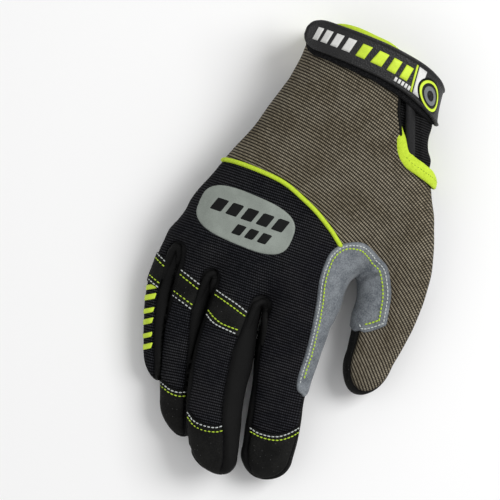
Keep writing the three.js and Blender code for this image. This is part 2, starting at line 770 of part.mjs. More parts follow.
// A closed tube or flat ribbon along points, its width laid square to the given normals
function sweep(points, normals, width, thickness, closed) {
  const rings = points.map((point, i) => {
    const before = points[closed ? (i + points.length - 1) % points.length : Math.max(0, i - 1)];
    const after = points[closed ? (i + 1) % points.length : Math.min(points.length - 1, i + 1)];
    const along = after.clone().sub(before).normalize();
    const across = along.clone().cross(normals[i]).normalize();
    const up = across.clone().cross(along).normalize();
    return Array.from({ length: ROD_SIDES }, (_, k) => {
      const angle = (2 * Math.PI * (k + 0.5)) / ROD_SIDES;
      const place = point
        .clone()
        .addScaledVector(across, (Math.cos(angle) * width) / 2)
        .addScaledVector(up, (Math.sin(angle) * thickness) / 2);
      return place.toArray();
    });
  });
  const index = [];
  const n = rings.length;
  for (let r = 0; r < (closed ? n : n - 1); r += 1) {
    for (let k = 0; k < ROD_SIDES; k += 1) {
      const next = (k + 1) % ROD_SIDES;
      const [p, q] = [r * ROD_SIDES, ((r + 1) % n) * ROD_SIDES];
      index.push(p + k, p + next, q + k, p + next, q + next, q + k);
    }
  }
  if (!closed) {
    for (let k = 1; k + 1 < ROD_SIDES; k += 1) {
      const last = (n - 1) * ROD_SIDES;
      index.push(0, k + 1, k, last, last + k, last + k + 1);
    }
  }
  const geometry = new THREE.BufferGeometry();
  geometry.setAttribute('position', new THREE.Float32BufferAttribute(rings.flat(2), 3));
  geometry.setIndex(index);
  const solid = toManifold(geometry);
  if (solid.volume() > 0) return solid;
  geometry.setIndex(index.reverse());
  return toManifold(geometry);
}

// A slab over a grid: surface(u, v, out) gives its inner face at out 0 and its outer one at out 1
function slab(surface, nu, nv) {
  const rings = [];
  for (let i = 0; i <= nu; i += 1) {
    const ring = [];
    for (let j = 0; j <= nv; j += 1) ring.push(surface(i / nu, j / nv, 1));
    for (let j = nv; j >= 0; j -= 1) ring.push(surface(i / nu, j / nv, 0));
    rings.push(ring);
  }
  const index = [];
  const n = 2 * (nv + 1);
  for (let r = 0; r < nu; r += 1) {
    for (let k = 0; k < n; k += 1) {
      const next = (k + 1) % n;
      index.push(r * n + k, r * n + next, (r + 1) * n + k);
      index.push(r * n + next, (r + 1) * n + next, (r + 1) * n + k);
    }
  }
  for (const [r, flip] of [[0, true], [nu, false]]) {
    for (let j = 0; j < nv; j += 1) {
      const quad = [r * n + j, r * n + j + 1, r * n + n - 2 - j, r * n + n - 1 - j];
      const faces = [[quad[0], quad[1], quad[2]], [quad[0], quad[2], quad[3]]];
      for (const face of faces) index.push(...(flip ? face.reverse() : face));
    }
  }
  const geometry = new THREE.BufferGeometry();
  geometry.setAttribute('position', new THREE.Float32BufferAttribute(rings.flat(2), 3));
  geometry.setIndex(index);
  const solid = toManifold(geometry);
  if (solid.volume() > 0) return solid;
  geometry.setIndex(index.reverse());
  return toManifold(geometry);
}

// A point on the wrist at an angle in degrees, and its outward normal
function wristPoint(y, angle, grow) {
  const [x, z] = roundSection(palmSection(y), angle * DEGREE, grow, PALM_BASE_POWER);
  return new THREE.Vector3(x, y, z);
}

function wristNormal(y, angle) {
  const inner = wristPoint(y, angle, 0);
  return wristPoint(y, angle, 1).sub(inner).normalize();
}

const lookUp = (rows, angle, column) => smooth(rows, 'angle', angle, column);
const rimRows = [
  ...RIM_ROWS,
  ...RIM_ROWS.slice(0, 3).map((row) => ({ ...row, angle: row.angle + 360 })),
];
const rimY = (angle) => lookUp(rimRows, angle, 'y') * PALM_LENGTH;
const RIM_STEPS = 36;
const rimAngles = Array.from(
  { length: RIM_STEPS },
  (_, k) => RIM_ROWS[0].angle + (360 * k) / RIM_STEPS,
);

// Everything beyond the cuff's cut edge
function beyondRim() {
  const fan = (reach) =>
    rimAngles.map((angle) => {
      const y = rimY(angle);
      const [x, z] = roundSection(palmSection(y), angle * DEGREE, reach, PALM_BASE_POWER);
      return [x, y, z];
    });
  const mouth = (y) => fan(FAR / 4).map(([x, , z]) => [x, y, z]);
  const y = PALM_LENGTH * 0.75;
  const section = palmSection(y);
  return loft([mouth(PALM_LENGTH * 1.2), fan(FAR / 4), fan(-section.b * 0.7), [[section.x, y, section.z]]]);
}

function cuffBinding(grow) {
  const points = rimAngles.map((angle) => wristPoint(rimY(angle), angle, -WALL / 2));
  const normals = rimAngles.map((angle) => wristNormal(rimY(angle), angle));
  return sweep(points, normals, BINDING_WIDTH + 2 * grow, BINDING_THICKNESS + 2 * grow, true);
}

// Height of the back of the hand above a plan point
function backPoint({ x, y }, grow) {
  const section = palmSection(y);
  const reach = THREE.MathUtils.clamp((x - section.x) / section.a, -1, 1);
  const angle = Math.acos(Math.sign(reach) * Math.abs(reach) ** (TOP_POWER / 2));
  const [px, pz] = roundSection(section, angle, grow, PALM_BASE_POWER);
  return new THREE.Vector3(px, y, pz);
}

function pipingRod(grow) {
  const curve = new THREE.CatmullRomCurve3(
    PIPING_LINE.map((row) => {
      const { x, y } = plan(row);
      return new THREE.Vector3(x, y, 0);
    }),
  );
  const line = curve.getPoints(18).map((p) => backPoint(p, 0.2));
  const first = line[0];
  line.unshift(new THREE.Vector3(first.x - 0.6, first.y - 0.2, first.z - 4));
  const normals = line.map((p) => {
    const section = palmSection(p.y);
    return new THREE.Vector3(p.x - section.x, 0, (p.z - section.z) * 2).normalize();
  });
  const size = PIPING_DIAMETER + 2 * grow;
  return sweep(line, normals, size, size, false);
}

// The plan region of the black knuckle panel: below the piping and beside the thumb fork
function knuckleRegion(gap) {
  const curve = new THREE.SplineCurve(PIPING_LINE.map(plan));
  const seam = [...curve.getPoints(24), ...HIDDEN_SEAM.map(plan)];
  const shifted = seam.map((p) => new THREE.Vector2(p.x - gap * 0.5, p.y - gap));
  const fork = shifted.at(-1).x;
  return [
    new THREE.Vector2(-FAR, shifted[0].y),
    ...shifted,
    new THREE.Vector2(fork, -FAR),
    new THREE.Vector2(-FAR, -FAR),
  ];
}

// Plan outline in a finger's own shares: at along its length, across as a share of its half width
function fingerOutline(name, spots) {
  const digit = DIGITS[name];
  return spots.map(([at, across]) => {
    const section = digitSection(digit, Math.min(at, digit.rows.at(-1).at));
    const beyond = Math.max(0, at - digit.rows.at(-1).at) / digit.nose.length;
    const x = section.x + digit.nose.drift * digit.length * beyond + across * section.a;
    return new THREE.Vector2(x, digitY(digit, at));
  });
}

// Rounded end of a pad: a half ellipse from one side to the other
function roundEnd(at, depth, spread) {
  return Array.from({ length: 7 }, (_, k) => {
    const angle = (k * Math.PI) / 6;
    return [at + depth * Math.sin(angle), spread * Math.cos(angle)];
  });
}

// Building the pieces
const shellOuter = form(0, FINGER_GAP, PALM_FLOOR);
const shellInner = form(-WALL, FINGER_GAP + WALL, PALM_FLOOR + WALL);
const shell = shellOuter.subtract(shellInner).subtract(beyondRim()).subtract(cuffBinding(GAP));
const layer = (from, to, floor) =>
  form(to, FINGER_GAP - to, floor).subtract(form(from, FINGER_GAP - from, floor + (to - from)));
const suede = layer(GAP, GAP + OVERLAY, 0);
const palmSuede = form(GAP + OVERLAY, FINGER_GAP - OVERLAY - GAP, PATCH_FLOOR).subtract(
  form(GAP, FINGER_GAP - GAP, PATCH_FLOOR + OVERLAY),
);
const above = abovePartingSheet(GAP / 2);
const below = box(-FAR, -FAR, -FAR, FAR, FAR, FAR).subtract(abovePartingSheet(-GAP / 2));
const aboveExact = abovePartingSheet(0);

const pieces = [];
function addPiece(name, solid, colour, roughness) {
  pieces.push({ name, solid: whole(solid), colour, roughness });
}

// Side strips between the fingers
const stripCutters = (gap) =>
  FORKS.map((fork) =>
    union([
      fingerZone(fork.left).intersect(sideStrip(fork.left, true, gap)),
      fingerZone(fork.right).intersect(sideStrip(fork.right, false, gap)),
      forkWeb(fork, gap),
    ]),
  );
const stripSolids = stripCutters(0);
const stripsGrown = union(stripCutters(GAP));
FORKS.forEach(({ left, right }, i) => {
  addPiece(`side_strip_${left}_${right}`, shell.intersect(stripSolids[i]), COLOUR.black, 0.85);
});

// Back of the hand
const back = shell.intersect(above).subtract(stripsGrown);
const knuckles = prism(knuckleRegion(GAP / 2), -FAR, FAR);
const wristBack = box(-FAR, -FAR, -FAR, FAR, FAR, FAR).subtract(
  prism(knuckleRegion(-GAP / 2), -FAR, FAR),
);
const piping = pipingRod(0);
const pipingRoom = pipingRod(GAP);
addPiece('back_panel', back.intersect(wristBack).subtract(pipingRoom), COLOUR.taupe, 0.9);

let knucklePanel = back.intersect(knuckles).subtract(pipingRoom);
for (const name of ['index', 'middle', 'ring']) {
  const start = CAP_START[name];
  const cap = (from) => {
    const outline = fingerOutline(name, [
      [from, -1.4],
      [from + 0.022, -0.5],
      [from + 0.022, 0.4],
      [from - 0.03, 1.4],
      [1.2, 1.4],
      [1.2, -1.4],
    ]);
    return prism(outline, -FAR, FAR).intersect(fingerZone(name));
  };
  addPiece(`tip_cap_${name}`, back.intersect(cap(start)), COLOUR.leather, 0.75);
  knucklePanel = knucklePanel.subtract(cap(start - GAP / DIGITS[name].length));
}
addPiece('knuckle_panel', knucklePanel, COLOUR.black, 0.9);
addPiece('piping', piping, COLOUR.lime, 0.6);

// Palm side
const palmSide = shell.intersect(below).subtract(stripsGrown);
const wristSeam = WRIST_SEAM * PALM_LENGTH;
addPiece(
  'palm_panel',
  palmSide.intersect(box(-FAR, -FAR, -FAR, FAR, wristSeam - GAP / 2, FAR)),
  COLOUR.leather,
  0.8,
);
addPiece(
  'wrist_panel',
  palmSide.intersect(box(-FAR, wristSeam + GAP / 2, -FAR, FAR, FAR, FAR)),
  COLOUR.ivory,
  0.7,
);

// Suede patches
const patchTop = PATCH_SEAM * PALM_DEPTH;
addPiece(
  'palm_patch',
  palmSuede
    .intersect(prism(PALM_PATCH.map(plan), -FAR, patchTop))
    .subtract(fingerZone('index')),
  COLOUR.suede,
  0.95,
);
const forkPatch = union([
  suede.intersect(prism(FORK_PATCH_BACK.map(plan), -FAR, FAR)).intersect(aboveExact),
  suede.intersect(prism(FORK_PATCH_PALM.map(plan), -FAR, FAR)).subtract(aboveExact),
]);
const palmPatchRoom = prism(PALM_PATCH.map(plan), -FAR, patchTop + GAP);
addPiece(
  'thumb_fork_patch',
  forkPatch.subtract(palmPatchRoom).subtract(pipingRoom),
  COLOUR.suede,
  0.95,
);
addPiece(
  'thumb_side_patch',
  suede.intersect(prism(THUMB_PATCH.map(plan), -FAR, PATCH_REACH * THUMB_DEPTH)),
  COLOUR.suede,
  0.95,
);

// Gel pads, flat where the glove rests on them
for (const [name, outline] of Object.entries(GEL_PADS)) {
  addPiece(name, prism(outline.map(plan), 0, PAD), COLOUR.suede, 0.95);
}
const heel = plan(HEEL_PAD_CENTRE);
const disc = new THREE.CylinderGeometry(HEEL_PAD_DIAMETER / 2, HEEL_PAD_DIAMETER / 2, PAD, 24);
disc.rotateX(Math.PI / 2).translate(heel.x, heel.y, PAD / 2);
addPiece('pad_heel_round', toManifold(disc), COLOUR.suede, 0.95);

// Finger pads on the palm side
const underSuede = suede.intersect(below);
for (const [name, { from, to }] of Object.entries(TIP_PADS)) {
  const spread = TIP_PAD_SPREAD;
  const outline = fingerOutline(name, [
    [from, -spread],
    ...roundEnd(to - 0.1, 0.1, -spread),
    [from, spread],
  ]);
  const pad = underSuede.intersect(prism(outline, -FAR, FAR)).intersect(finger(name, FAR / 100, 0));
  addPiece(`tip_pad_${name}`, pad, COLOUR.suede, 0.95);
}
for (const [name, { from, to }] of Object.entries(JOINT_PADS)) {
  const spread = TIP_PAD_SPREAD;
  const outline = fingerOutline(name, [
    [from, -spread],
    [to, -spread],
    [to, spread],
    [from, spread],
  ]);
  const pad = underSuede.intersect(prism(outline, -FAR, FAR)).intersect(finger(name, FAR / 100, 0));
  addPiece(`joint_pad_${name}`, pad, COLOUR.suede, 0.95);
}

// Knuckle bands across the backs of three fingers
const backOverlay = suede.intersect(above).subtract(stripsGrown);
for (const [name, centre] of Object.entries(BAND_CENTRE)) {
  const half = BAND_WIDTH / 2 / DIGITS[name].length;
  const slant = BAND_SLANT[name];
  const outline = fingerOutline(name, [
    [centre - half + slant * -0.5, -SEAM.backLittleSide],
    [centre - half - slant * 0.5, SEAM.backThumbSide - 0.02],
    [centre + half - slant * 0.3, SEAM.backThumbSide - 0.02],
    [centre + half + 0.008, 0],
    [centre + half + slant * 0.7, -SEAM.backLittleSide],
  ]);
  addPiece(`knuckle_band_${name}`, backOverlay.intersect(prism(outline, -FAR, FAR)), COLOUR.leather, 0.75);
}

// Plain reflective film on the back of the hand
const filmCentre = plan(REFLECTIVE_CENTRE);
const filmShape = Array.from({ length: 28 }, (_, k) => {
  const angle = (2 * Math.PI * k) / 28;
  const round = (v) => Math.sign(v) * Math.abs(v) ** 0.6;
  return new THREE.Vector2(
    (REFLECTIVE_LENGTH / 2) * round(Math.cos(angle)),
    (REFLECTIVE_WIDTH / 2) * round(Math.sin(angle)),
  )
    .rotateAround(new THREE.Vector2(), REFLECTIVE_TURN * DEGREE)
    .add(filmCentre);
});
const film = layer(GAP, GAP + PRINT, 0);
addPiece(
  'reflective_patch',
  film.intersect(prism(filmShape, 0, FAR)).intersect(above),
  COLOUR.silver,
  0.4,
);

// Cuff: binding, sleeve under the slit, strap
addPiece('cuff_binding', cuffBinding(0), COLOUR.lime, 0.6);

function gussetPoint(u, v, out) {
  const [high, low] = [GUSSET_ROWS[0].y, GUSSET_ROWS.at(-1).y];
  const share = mix(high, low, u);
  const y = share * PALM_LENGTH;
  const section = palmSection(y);
  const right = smooth(GUSSET_ROWS, 'y', share, 'right') * PALM_WIDTH;
  const inner = { ...section, a: right - section.x, b: section.b - GUSSET_INSET };
  const angle = mix(GUSSET_SPAN.from, GUSSET_SPAN.to, v) * DEGREE;
  const [x, z] = roundSection(inner, angle, (out - 1) * GUSSET_THICKNESS, PALM_BASE_POWER);
  return [x, y, z];
}
addPiece('slit_gusset', slab(gussetPoint, 6, 8), COLOUR.black, 0.9);

function strapSlab(span, widthOf, from, to, nu) {
  return slab(
    (u, v, out) => {
      const angle = mix(span.from, span.to, u);
      const middle = lookUp(STRAP_ROWS, angle, 'y') * PALM_LENGTH;
      const width = widthOf(angle) * lookUp(STRAP_ROWS, angle, 'width');
      const y = middle + (v - 0.5) * width;
      return wristPoint(y, angle, mix(from, to, out)).toArray();
    },
    nu,
    2,
  );
}

// The free end rounds off as a half circle does
function roundedWidth(width, end) {
  return (angle) => {
    const left = (end - angle) / TAB_ROUNDING;
    if (left >= 1) return width;
    return width * Math.sqrt(1 - (1 - Math.max(left, 0.02)) ** 2);
  };
}
const tapeFrom = BINDING_THICKNESS / 2 - WALL / 2 + GAP;
const tabFrom = tapeFrom + TAPE_THICKNESS + GAP + FACET_PLAY;
const tapeWidth = roundedWidth(STRAP_WIDTH + STRAP_EDGE, TAPE_SPAN.to);
addPiece(
  'strap_tape',
  strapSlab(TAPE_SPAN, tapeWidth, tapeFrom, tapeFrom + TAPE_THICKNESS, 20),
  COLOUR.black,
  0.95,
);
const tabTop = tabFrom + TAB_THICKNESS;
addPiece(
  'strap_tab',
  strapSlab(TAB_SPAN, roundedWidth(STRAP_WIDTH, TAB_SPAN.to), tabFrom, tabTop, 20),
  COLOUR.black,
  0.55,
);

// Plain round badge on the thumb side of the tab
const badgeTurn = (BADGE_DIAMETER / CUFF_WIDTH / DEGREE) * 1.3;
const badgeSpan = { from: BADGE_ANGLE - badgeTurn / 2, to: BADGE_ANGLE + badgeTurn / 2 };
const badgeWidth = (angle) => {
  const share = THREE.MathUtils.clamp((2 * (angle - BADGE_ANGLE)) / badgeTurn, -0.98, 0.98);
  return BADGE_DIAMETER * Math.sqrt(1 - share ** 2);
};
const badgeFrom = tabTop + GAP;
addPiece(
  'strap_badge',
  strapSlab(badgeSpan, badgeWidth, badgeFrom, badgeFrom + RELIEF, 10),
  COLOUR.silver,
  0.5,
);

// Recentre the glove on the floor, and hand each piece over as a mesh
const glove = new THREE.Group();
for (const { name, solid, colour, roughness } of pieces) {
  const mesh = solid.getMesh();
  const geometry = new THREE.BufferGeometry();
  geometry.setAttribute('position', new THREE.BufferAttribute(mesh.vertProperties, 3));
  geometry.setIndex(new THREE.BufferAttribute(mesh.triVerts, 1));
  geometry.computeVertexNormals();
  const material = new THREE.MeshStandardMaterial({ color: colour, roughness, metalness: 0 });
  const node = new THREE.Mesh(geometry, material);
  node.name = name;
  glove.add(node);
}
const bounds = new THREE.Box3().setFromObject(glove);
const centre = bounds.getCenter(new THREE.Vector3());
glove.position.set(-centre.x, -centre.y, -bounds.min.z);

export default glove;
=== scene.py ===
import functools

import bpy
import numpy as np
from bpy.props import FloatProperty, FloatVectorProperty, PointerProperty
from mathutils import Euler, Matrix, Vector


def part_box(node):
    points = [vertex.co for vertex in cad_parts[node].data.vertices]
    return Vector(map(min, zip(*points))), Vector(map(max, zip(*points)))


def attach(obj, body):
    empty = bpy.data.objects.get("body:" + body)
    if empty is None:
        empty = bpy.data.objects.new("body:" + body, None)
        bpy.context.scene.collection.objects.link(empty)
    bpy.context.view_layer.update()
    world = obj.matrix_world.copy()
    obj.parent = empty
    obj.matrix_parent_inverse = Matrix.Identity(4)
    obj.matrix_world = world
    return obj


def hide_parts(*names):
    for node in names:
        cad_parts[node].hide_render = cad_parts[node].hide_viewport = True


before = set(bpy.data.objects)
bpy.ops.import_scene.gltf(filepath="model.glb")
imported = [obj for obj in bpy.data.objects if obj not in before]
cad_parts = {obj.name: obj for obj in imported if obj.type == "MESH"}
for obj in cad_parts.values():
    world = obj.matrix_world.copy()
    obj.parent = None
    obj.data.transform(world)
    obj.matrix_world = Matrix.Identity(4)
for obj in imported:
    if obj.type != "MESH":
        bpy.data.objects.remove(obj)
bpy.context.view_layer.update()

bl_info = {
    "name": "Anti vibration work glove",
    "version": (1, 0, 0),
    "blender": (4, 5, 0),
    "location": "3D View > Sidebar > Glove",
    "description": "A stuffed work glove lying palm down: knit back, suede patches, gel pads and wrist strap",
    "category": "Add Mesh",
}

MM = 0.001

# Every table below is in the glove's own millimetres: thumb towards +X, cuff towards +Y, floor at 0.
# The round heel pad's centre there ties them to the frame.
HEEL_PAD = (-13.03, 64.37)
PAD_LOW, PAD_HIGH = (np.array(corner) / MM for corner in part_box("pad_heel_round"))
PAD_HEIGHT = PAD_HIGH[2] - PAD_LOW[2]
SHIFT = np.array([(PAD_LOW[0] + PAD_HIGH[0]) / 2, (PAD_LOW[1] + PAD_HIGH[1]) / 2, 0]) - np.array([*HEEL_PAD, 0])

# Main sizes
PALM_LENGTH, PALM_WIDTH, PALM_DEPTH = 154.0, 98.0, 42.0
CUFF_WIDTH, CUFF_DEPTH = 77.0, 50.0
OVERLAY = 1.2
GAP = 0.3
PATCH_FLOOR = PAD_HEIGHT + GAP
PALM_FLOOR = PATCH_FLOOR + OVERLAY + GAP
TOP_POWER, PALM_BASE_POWER, FINGER_BASE_POWER = 2.25, 4.5, 2.5

# Palm and cuff: y, middle, width, low, depth, cuff, as shares of the sizes above
PALM_ROWS = np.array([
    (0.9, 0.025, 0.96, 0.06, 0.96, 1),
    (0.818, 0.022, 0.945, 0.06, 0.96, 1),
    (0.682, 0.023, 0.965, 0.06, 0.94, 1),
    (0.6, 0.024, 0.97, 0.062, 0.94, 0.8),
    (0.552, 0.031, 0.995, 0.064, 0.96, 0.6),
    (0.468, 0.035, 1.02, 0.056, 0.98, 0.3),
    (0.39, 0.033, 1.026, 0.048, 1.01, 0),
    (0.292, 0.0, 1.1, 0.024, 1.01, 0),
    (0.195, -0.064, 1.085, 0.024, 1.0, 0),
    (0.078, -0.161, 1.036, 0.024, 1.0, 0),
    (0.0, -0.198, 0.98, 0.024, 0.99, 0),
    (-0.065, -0.212, 0.955, 0.036, 0.92, 0),
    (-0.117, -0.156, 0.825, 0.071, 0.77, 0),
    (-0.162, -0.091, 0.59, 0.167, 0.5, 0),
])[::-1]
PALM_NOSE = {"length": 0.032, "drift": -0.03}

# Digits: at, aside, rise, width, depth along each, as shares of its own length, width and depth
DIGITS = {
    "thumb": {
        "size": (59.0, 35.0, 27.0), "root": (0.544, 0.0, 0.357), "nose": (0.36, -0.017, -0.01),
        "rows": ((-0.98, -0.3, 0.085, 0.8, 1.04), (-0.76, -0.196, 0.06, 0.98, 1.1),
                 (-0.51, -0.073, 0.026, 0.97, 1.07), (-0.25, -0.017, 0.008, 1.01, 1.04),
                 (0, 0, 0, 1.0, 1.0), (0.2, 0.012, -0.008, 0.93, 0.96),
                 (0.42, 0.007, -0.017, 0.87, 0.92), (0.64, -0.005, -0.03, 0.755, 0.87)),
    },
    "index": {
        "size": (91.0, 33.5, 20.0), "root": (0.088, -0.182, 0.488), "nose": (0.15, -0.004, -0.014),
        "rows": ((-0.5, -0.04, 0.016, 0.78, 1.8), (-0.2, -0.012, 0.016, 0.95, 1.82),
                 (0, -0.003, 0.008, 1.04, 1.58), (0.24, 0.004, -0.016, 1.02, 1.08),
                 (0.46, 0.035, -0.033, 0.884, 0.95), (0.68, 0.074, -0.055, 0.905, 0.92),
                 (0.85, 0.098, -0.074, 0.85, 0.88)),
    },
    "middle": {
        "size": (99.5, 32.0, 19.0), "root": (-0.263, -0.162, 0.548), "nose": (0.13, 0.045, -0.005),
        "rows": ((-0.45, 0.03, -0.01, 0.81, 1.8), (-0.15, 0.008, -0.005, 0.875, 1.8),
                 (0, 0, 0, 0.875, 1.5), (0.15, 0.012, 0, 0.91, 1.22), (0.35, 0.034, -0.003, 1.01, 1.05),
                 (0.55, 0.056, -0.005, 1.0, 1.0), (0.75, 0.105, -0.01, 0.97, 0.98),
                 (0.87, 0.145, -0.015, 0.88, 0.95)),
    },
    "ring": {
        "size": (93.5, 21.0, 19.0), "root": (-0.526, -0.117, 0.429), "nose": (0.16, 0.05, -0.005),
        "rows": ((-0.4, 0.06, 0.016, 0.98, 1.8), (-0.1, 0.012, 0.005, 1.05, 1.85),
                 (0, 0.008, 0, 1.08, 1.55), (0.24, 0.026, -0.02, 1.06, 1.12),
                 (0.45, 0.046, -0.045, 1.0, 1.01), (0.66, 0.105, -0.064, 1.01, 0.98),
                 (0.84, 0.172, -0.077, 1.1, 0.95)),
    },
    "little": {
        "size": (79.0, 18.0, 17.0), "root": (-0.653, -0.052, 0.329), "nose": (0.17, 0.061, -0.005),
        "rows": ((-0.45, 0.2, 0.06, 0.85, 1.6), (-0.1, 0.058, 0.02, 0.98, 1.75),
                 (0, 0.015, 0.005, 1.0, 1.5), (0.15, -0.011, -0.014, 1.0, 1.22),
                 (0.4, -0.014, -0.038, 0.99, 1.01), (0.65, 0.032, -0.05, 0.89, 0.97),
                 (0.83, 0.089, -0.058, 0.845, 0.9)),
    },
}
PRESSED_BY = {"little": "ring", "ring": "middle", "index": "middle"}
PRESS_GAP, PRESS_BLEND = 0.5, 0.8
CROTCH = (31.0, -2.0)
CROTCH_BLEND = 7.6
CROTCH_REACH = (7, 20)
FLOOR_BLEND = 2.0
ROOT_BLEND = {"thumb": 10.0, "index": 8.0, "middle": 8.0, "ring": 7.0, "little": 5.0}

# Cuff edge and strap centre line round the wrist: angle in degrees, y as a share of PALM_LENGTH
RIM_ROWS = np.array([
    (-78, 0.785), (-70, 0.76), (-62, 0.68), (-54, 0.56), (-44, 0.47), (-30, 0.425), (-14, 0.405), (4, 0.4),
    (22, 0.415), (36, 0.428), (49, 0.447), (53.5, 0.475), (57, 0.53), (60.5, 0.62), (64.5, 0.71), (70, 0.765),
    (80, 0.793), (95, 0.805), (110, 0.811), (125, 0.806), (145, 0.78), (180, 0.765), (215, 0.775), (245, 0.79),
    (282, 0.785), (290, 0.76), (298, 0.68),
])
STRAP_ROWS = np.array([
    (-40, 0.66, 0.9), (-14, 0.664, 1.0), (8, 0.665, 1.08), (30, 0.69, 1.1), (48, 0.712, 1.07),
    (66, 0.731, 1.0), (92, 0.75, 0.95), (125, 0.759, 0.9), (172, 0.763, 0.9),
])

# Seams in plan
PIPING_LINE = (
    (-58, 36.5), (-55, 38), (-45, 38.5), (-30, 37.6), (-20, 35.8), (-10, 31.8), (0, 27), (10, 20.5), (18, 14),
)
HIDDEN_SEAM = ((24, 8.5), (30.4, 1), (32.8, -6))
FORK_PATCH_BACK = (
    (29, -70), (24.5, -68.5), (21, -66.5), (19.3, -60), (18.9, -45), (17.3, -30), (15.5, -18), (13.3, -8),
    (12.8, 0), (13.6, 8), (17, 14), (22.5, 17.8), (29.5, 19.6), (36, 17.4), (40, 15), (45.3, 12), (49.2, 6),
    (52.6, -2), (54.3, -11), (55.2, -17.5), (54.4, -19.2), (48, -24.4), (43.7, -25.8), (36, -24),
)
FORK_PATCH_PALM = (
    (32, -65), (21, -62), (19.6, -55), (19.6, -45), (21.6, -37), (25, -29), (26.5, -9), (27, 2), (29.4, 9),
    (34.3, 8), (40, 0), (44, -12), (45, -23), (41, -27), (33, -26),
)
PALM_PATCH = (
    (23, -27), (19, -31.6), (13, -33), (6, -29.6), (-2, -22.5), (-8.5, -25.9), (-15, -27), (-21, -23.6),
    (-26, -20), (-31, -25), (-37, -29), (-43.5, -26.5), (-51, -18.5), (-57, -23.1), (-64.7, -23.1),
    (-76.4, -15.4), (-80.4, 35), (-57.8, 45), (-53.9, 58), (-45, 72), (-33, 82), (-20, 87.5), (-8, 87.5),
    (4, 82), (14, 74), (21, 64), (25.5, 52), (26.5, 45), (25, 38.5), (20, 35.7), (0, 37), (-20, 39.4),
    (-31.4, 41), (-32.5, 38.5), (-28, 36.5), (-9.8, 32), (5, 27), (10, 24), (11, 21.9), (8, 19.9),
    (-9.8, 19.6), (-30, 20.5), (-33, 18.5), (-31, 16.5), (-9.8, 14.9), (9.8, 13.9), (18.6, 13.4),
    (23, 7.7), (24, -10),
)
GEL_PADS = {
    "pad_index_base": ((17.6, -15.9), (14.4, -18.3), (8.7, -14.2), (-1.5, -10.8), (0, 1.1), (2.9, 2.8),
                       (17.6, 2.5)),
    "pad_middle_base": ((-10.1, -14), (-13.3, -17.6), (-16.2, -14), (-19.1, 1.1), (-17.4, 4.9), (-6.5, 4.5),
                        (-5.8, 1.1), (-8.7, -10.8)),
    "pad_ring_base": ((-31.8, -14), (-35, -17.9), (-38.3, -14), (-40.5, 2.8), (-39, 6.2), (-28.9, 5.9),
                      (-28.5, 2.8), (-30.4, -7.4)),
    "pad_little_base": ((-56, -15.4), (-61.5, -14.6), (-62.5, -9.2), (-61.3, 14.6), (-59.8, 16.3), (-53.5, 15.6),
                        (-52.5, 7.9), (-46.5, 1.1), (-47, -4.8), (-53.5, -7.4), (-55.3, -12.3)),
    "pad_wedge": ((-39.6, 25.6), (-42.2, 23.9), (-56.4, 23.9), (-54.9, 40), (-52.4, 39), (-40.9, 30.6)),
    "pad_heel_outer": ((-38.8, 42.4), (-47.9, 46.2), (-47.9, 51.7), (-43.6, 65.3), (-34.2, 75.5), (-31.7, 72.1),
                       (-33.5, 63.6), (-31.7, 53.4), (-34.2, 49.3)),
    "pad_heel_inner": ((19, 48.4), (16.5, 45.4), (2.4, 46.7), (0.4, 50), (2.4, 67.8), (5, 70.1), (8.4, 68.7),
                       (16.5, 58.5)),
}
HEEL_PAD_RADIUS = 12.5
HEEL_TURN = np.linspace(0, 2 * np.pi, 12, endpoint=False)
HEEL_ROUND = np.column_stack([np.cos(HEEL_TURN), np.sin(HEEL_TURN)])
GEL_PADS["pad_heel_round"] = np.array(HEEL_PAD) + HEEL_PAD_RADIUS * HEEL_ROUND
THUMB_PATCH = ((54.9, 9.2), (88, 7.7), (88, 50.8), (49, 52.4), (47, 46.2), (52.9, 27.7))

# Side strips at the finger forks: head centre and radius, then their edges on the back, as (y, x)
FORKS = {
    "side_strip_little_ring": {
        "sides": ("little", "ring"), "head": (-64.5, -16.5, 4.4),
        "left": ((-92, -51), (-84, -54.5), (-76, -57.5), (-68, -60.5), (-58, -63.5), (-48, -66), (-39, -67.3),
                 (-24, -67.6), (-16.5, -68.9)),
        "right": ((-112, -39), (-105, -45), (-97, -49), (-87, -52), (-72, -55.5), (-55, -58.2), (-40, -58.6),
                  (-24, -58.9), (-16.5, -60.1)),
    },
    "side_strip_ring_middle": {
        "sides": ("ring", "middle"), "head": (-42.6, -24.6, 4.5),
        "left": ((-114, -27), (-105, -30), (-95, -33), (-85, -36), (-75, -38.5), (-62, -42), (-52, -45),
                 (-45, -46.3), (-32, -46.6), (-24.6, -47.1)),
        "right": ((-124, -13), (-119, -20), (-114, -24.5), (-107, -28), (-99, -30.8), (-91, -32.8), (-83, -33.7),
                  (-72, -36.6), (-55, -38.2), (-42, -37.9), (-32, -37.3), (-24.6, -38.1)),
    },
    "side_strip_middle_index": {
        "sides": ("middle", "index"), "head": (-12.0, -30.0, 5.2),
        "left": ((-126, -3), (-115, -4), (-103, -8), (-98, -11), (-88, -14), (-75, -16.5), (-60, -18.3),
                 (-40, -17.7), (-30, -17.2)),
        "right": ((-119, 14), (-112.5, 8.6), (-106, 6), (-97, 4.4), (-88, 2.8), (-78, 0.7), (-68, -1.8),
                  (-58, -4.1), (-48, -5.6), (-38, -7), (-30, -6.8)),
    },
}
FORK_ROLLS = {
    "little_ring": ((-67.2, -34), (-67, -24), (-66.6, -17.5), (-64.7, -14.3), (-62.7, -17), (-62, -24),
                    (-61.4, -32)),
    "ring_middle": ((-45, -46), (-44.9, -36), (-44.7, -27.5), (-44.2, -23.6), (-42, -21.7), (-40, -24),
                    (-39.7, -28), (-39.6, -34), (-40.4, -42)),
    "middle_index": ((-15.7, -54), (-15.3, -44), (-15.1, -34), (-14.8, -30.2), (-12, -27.6), (-9.3, -29.8),
                     (-8.2, -33), (-6.8, -38), (-5.4, -44), (-4.4, -50)),
}
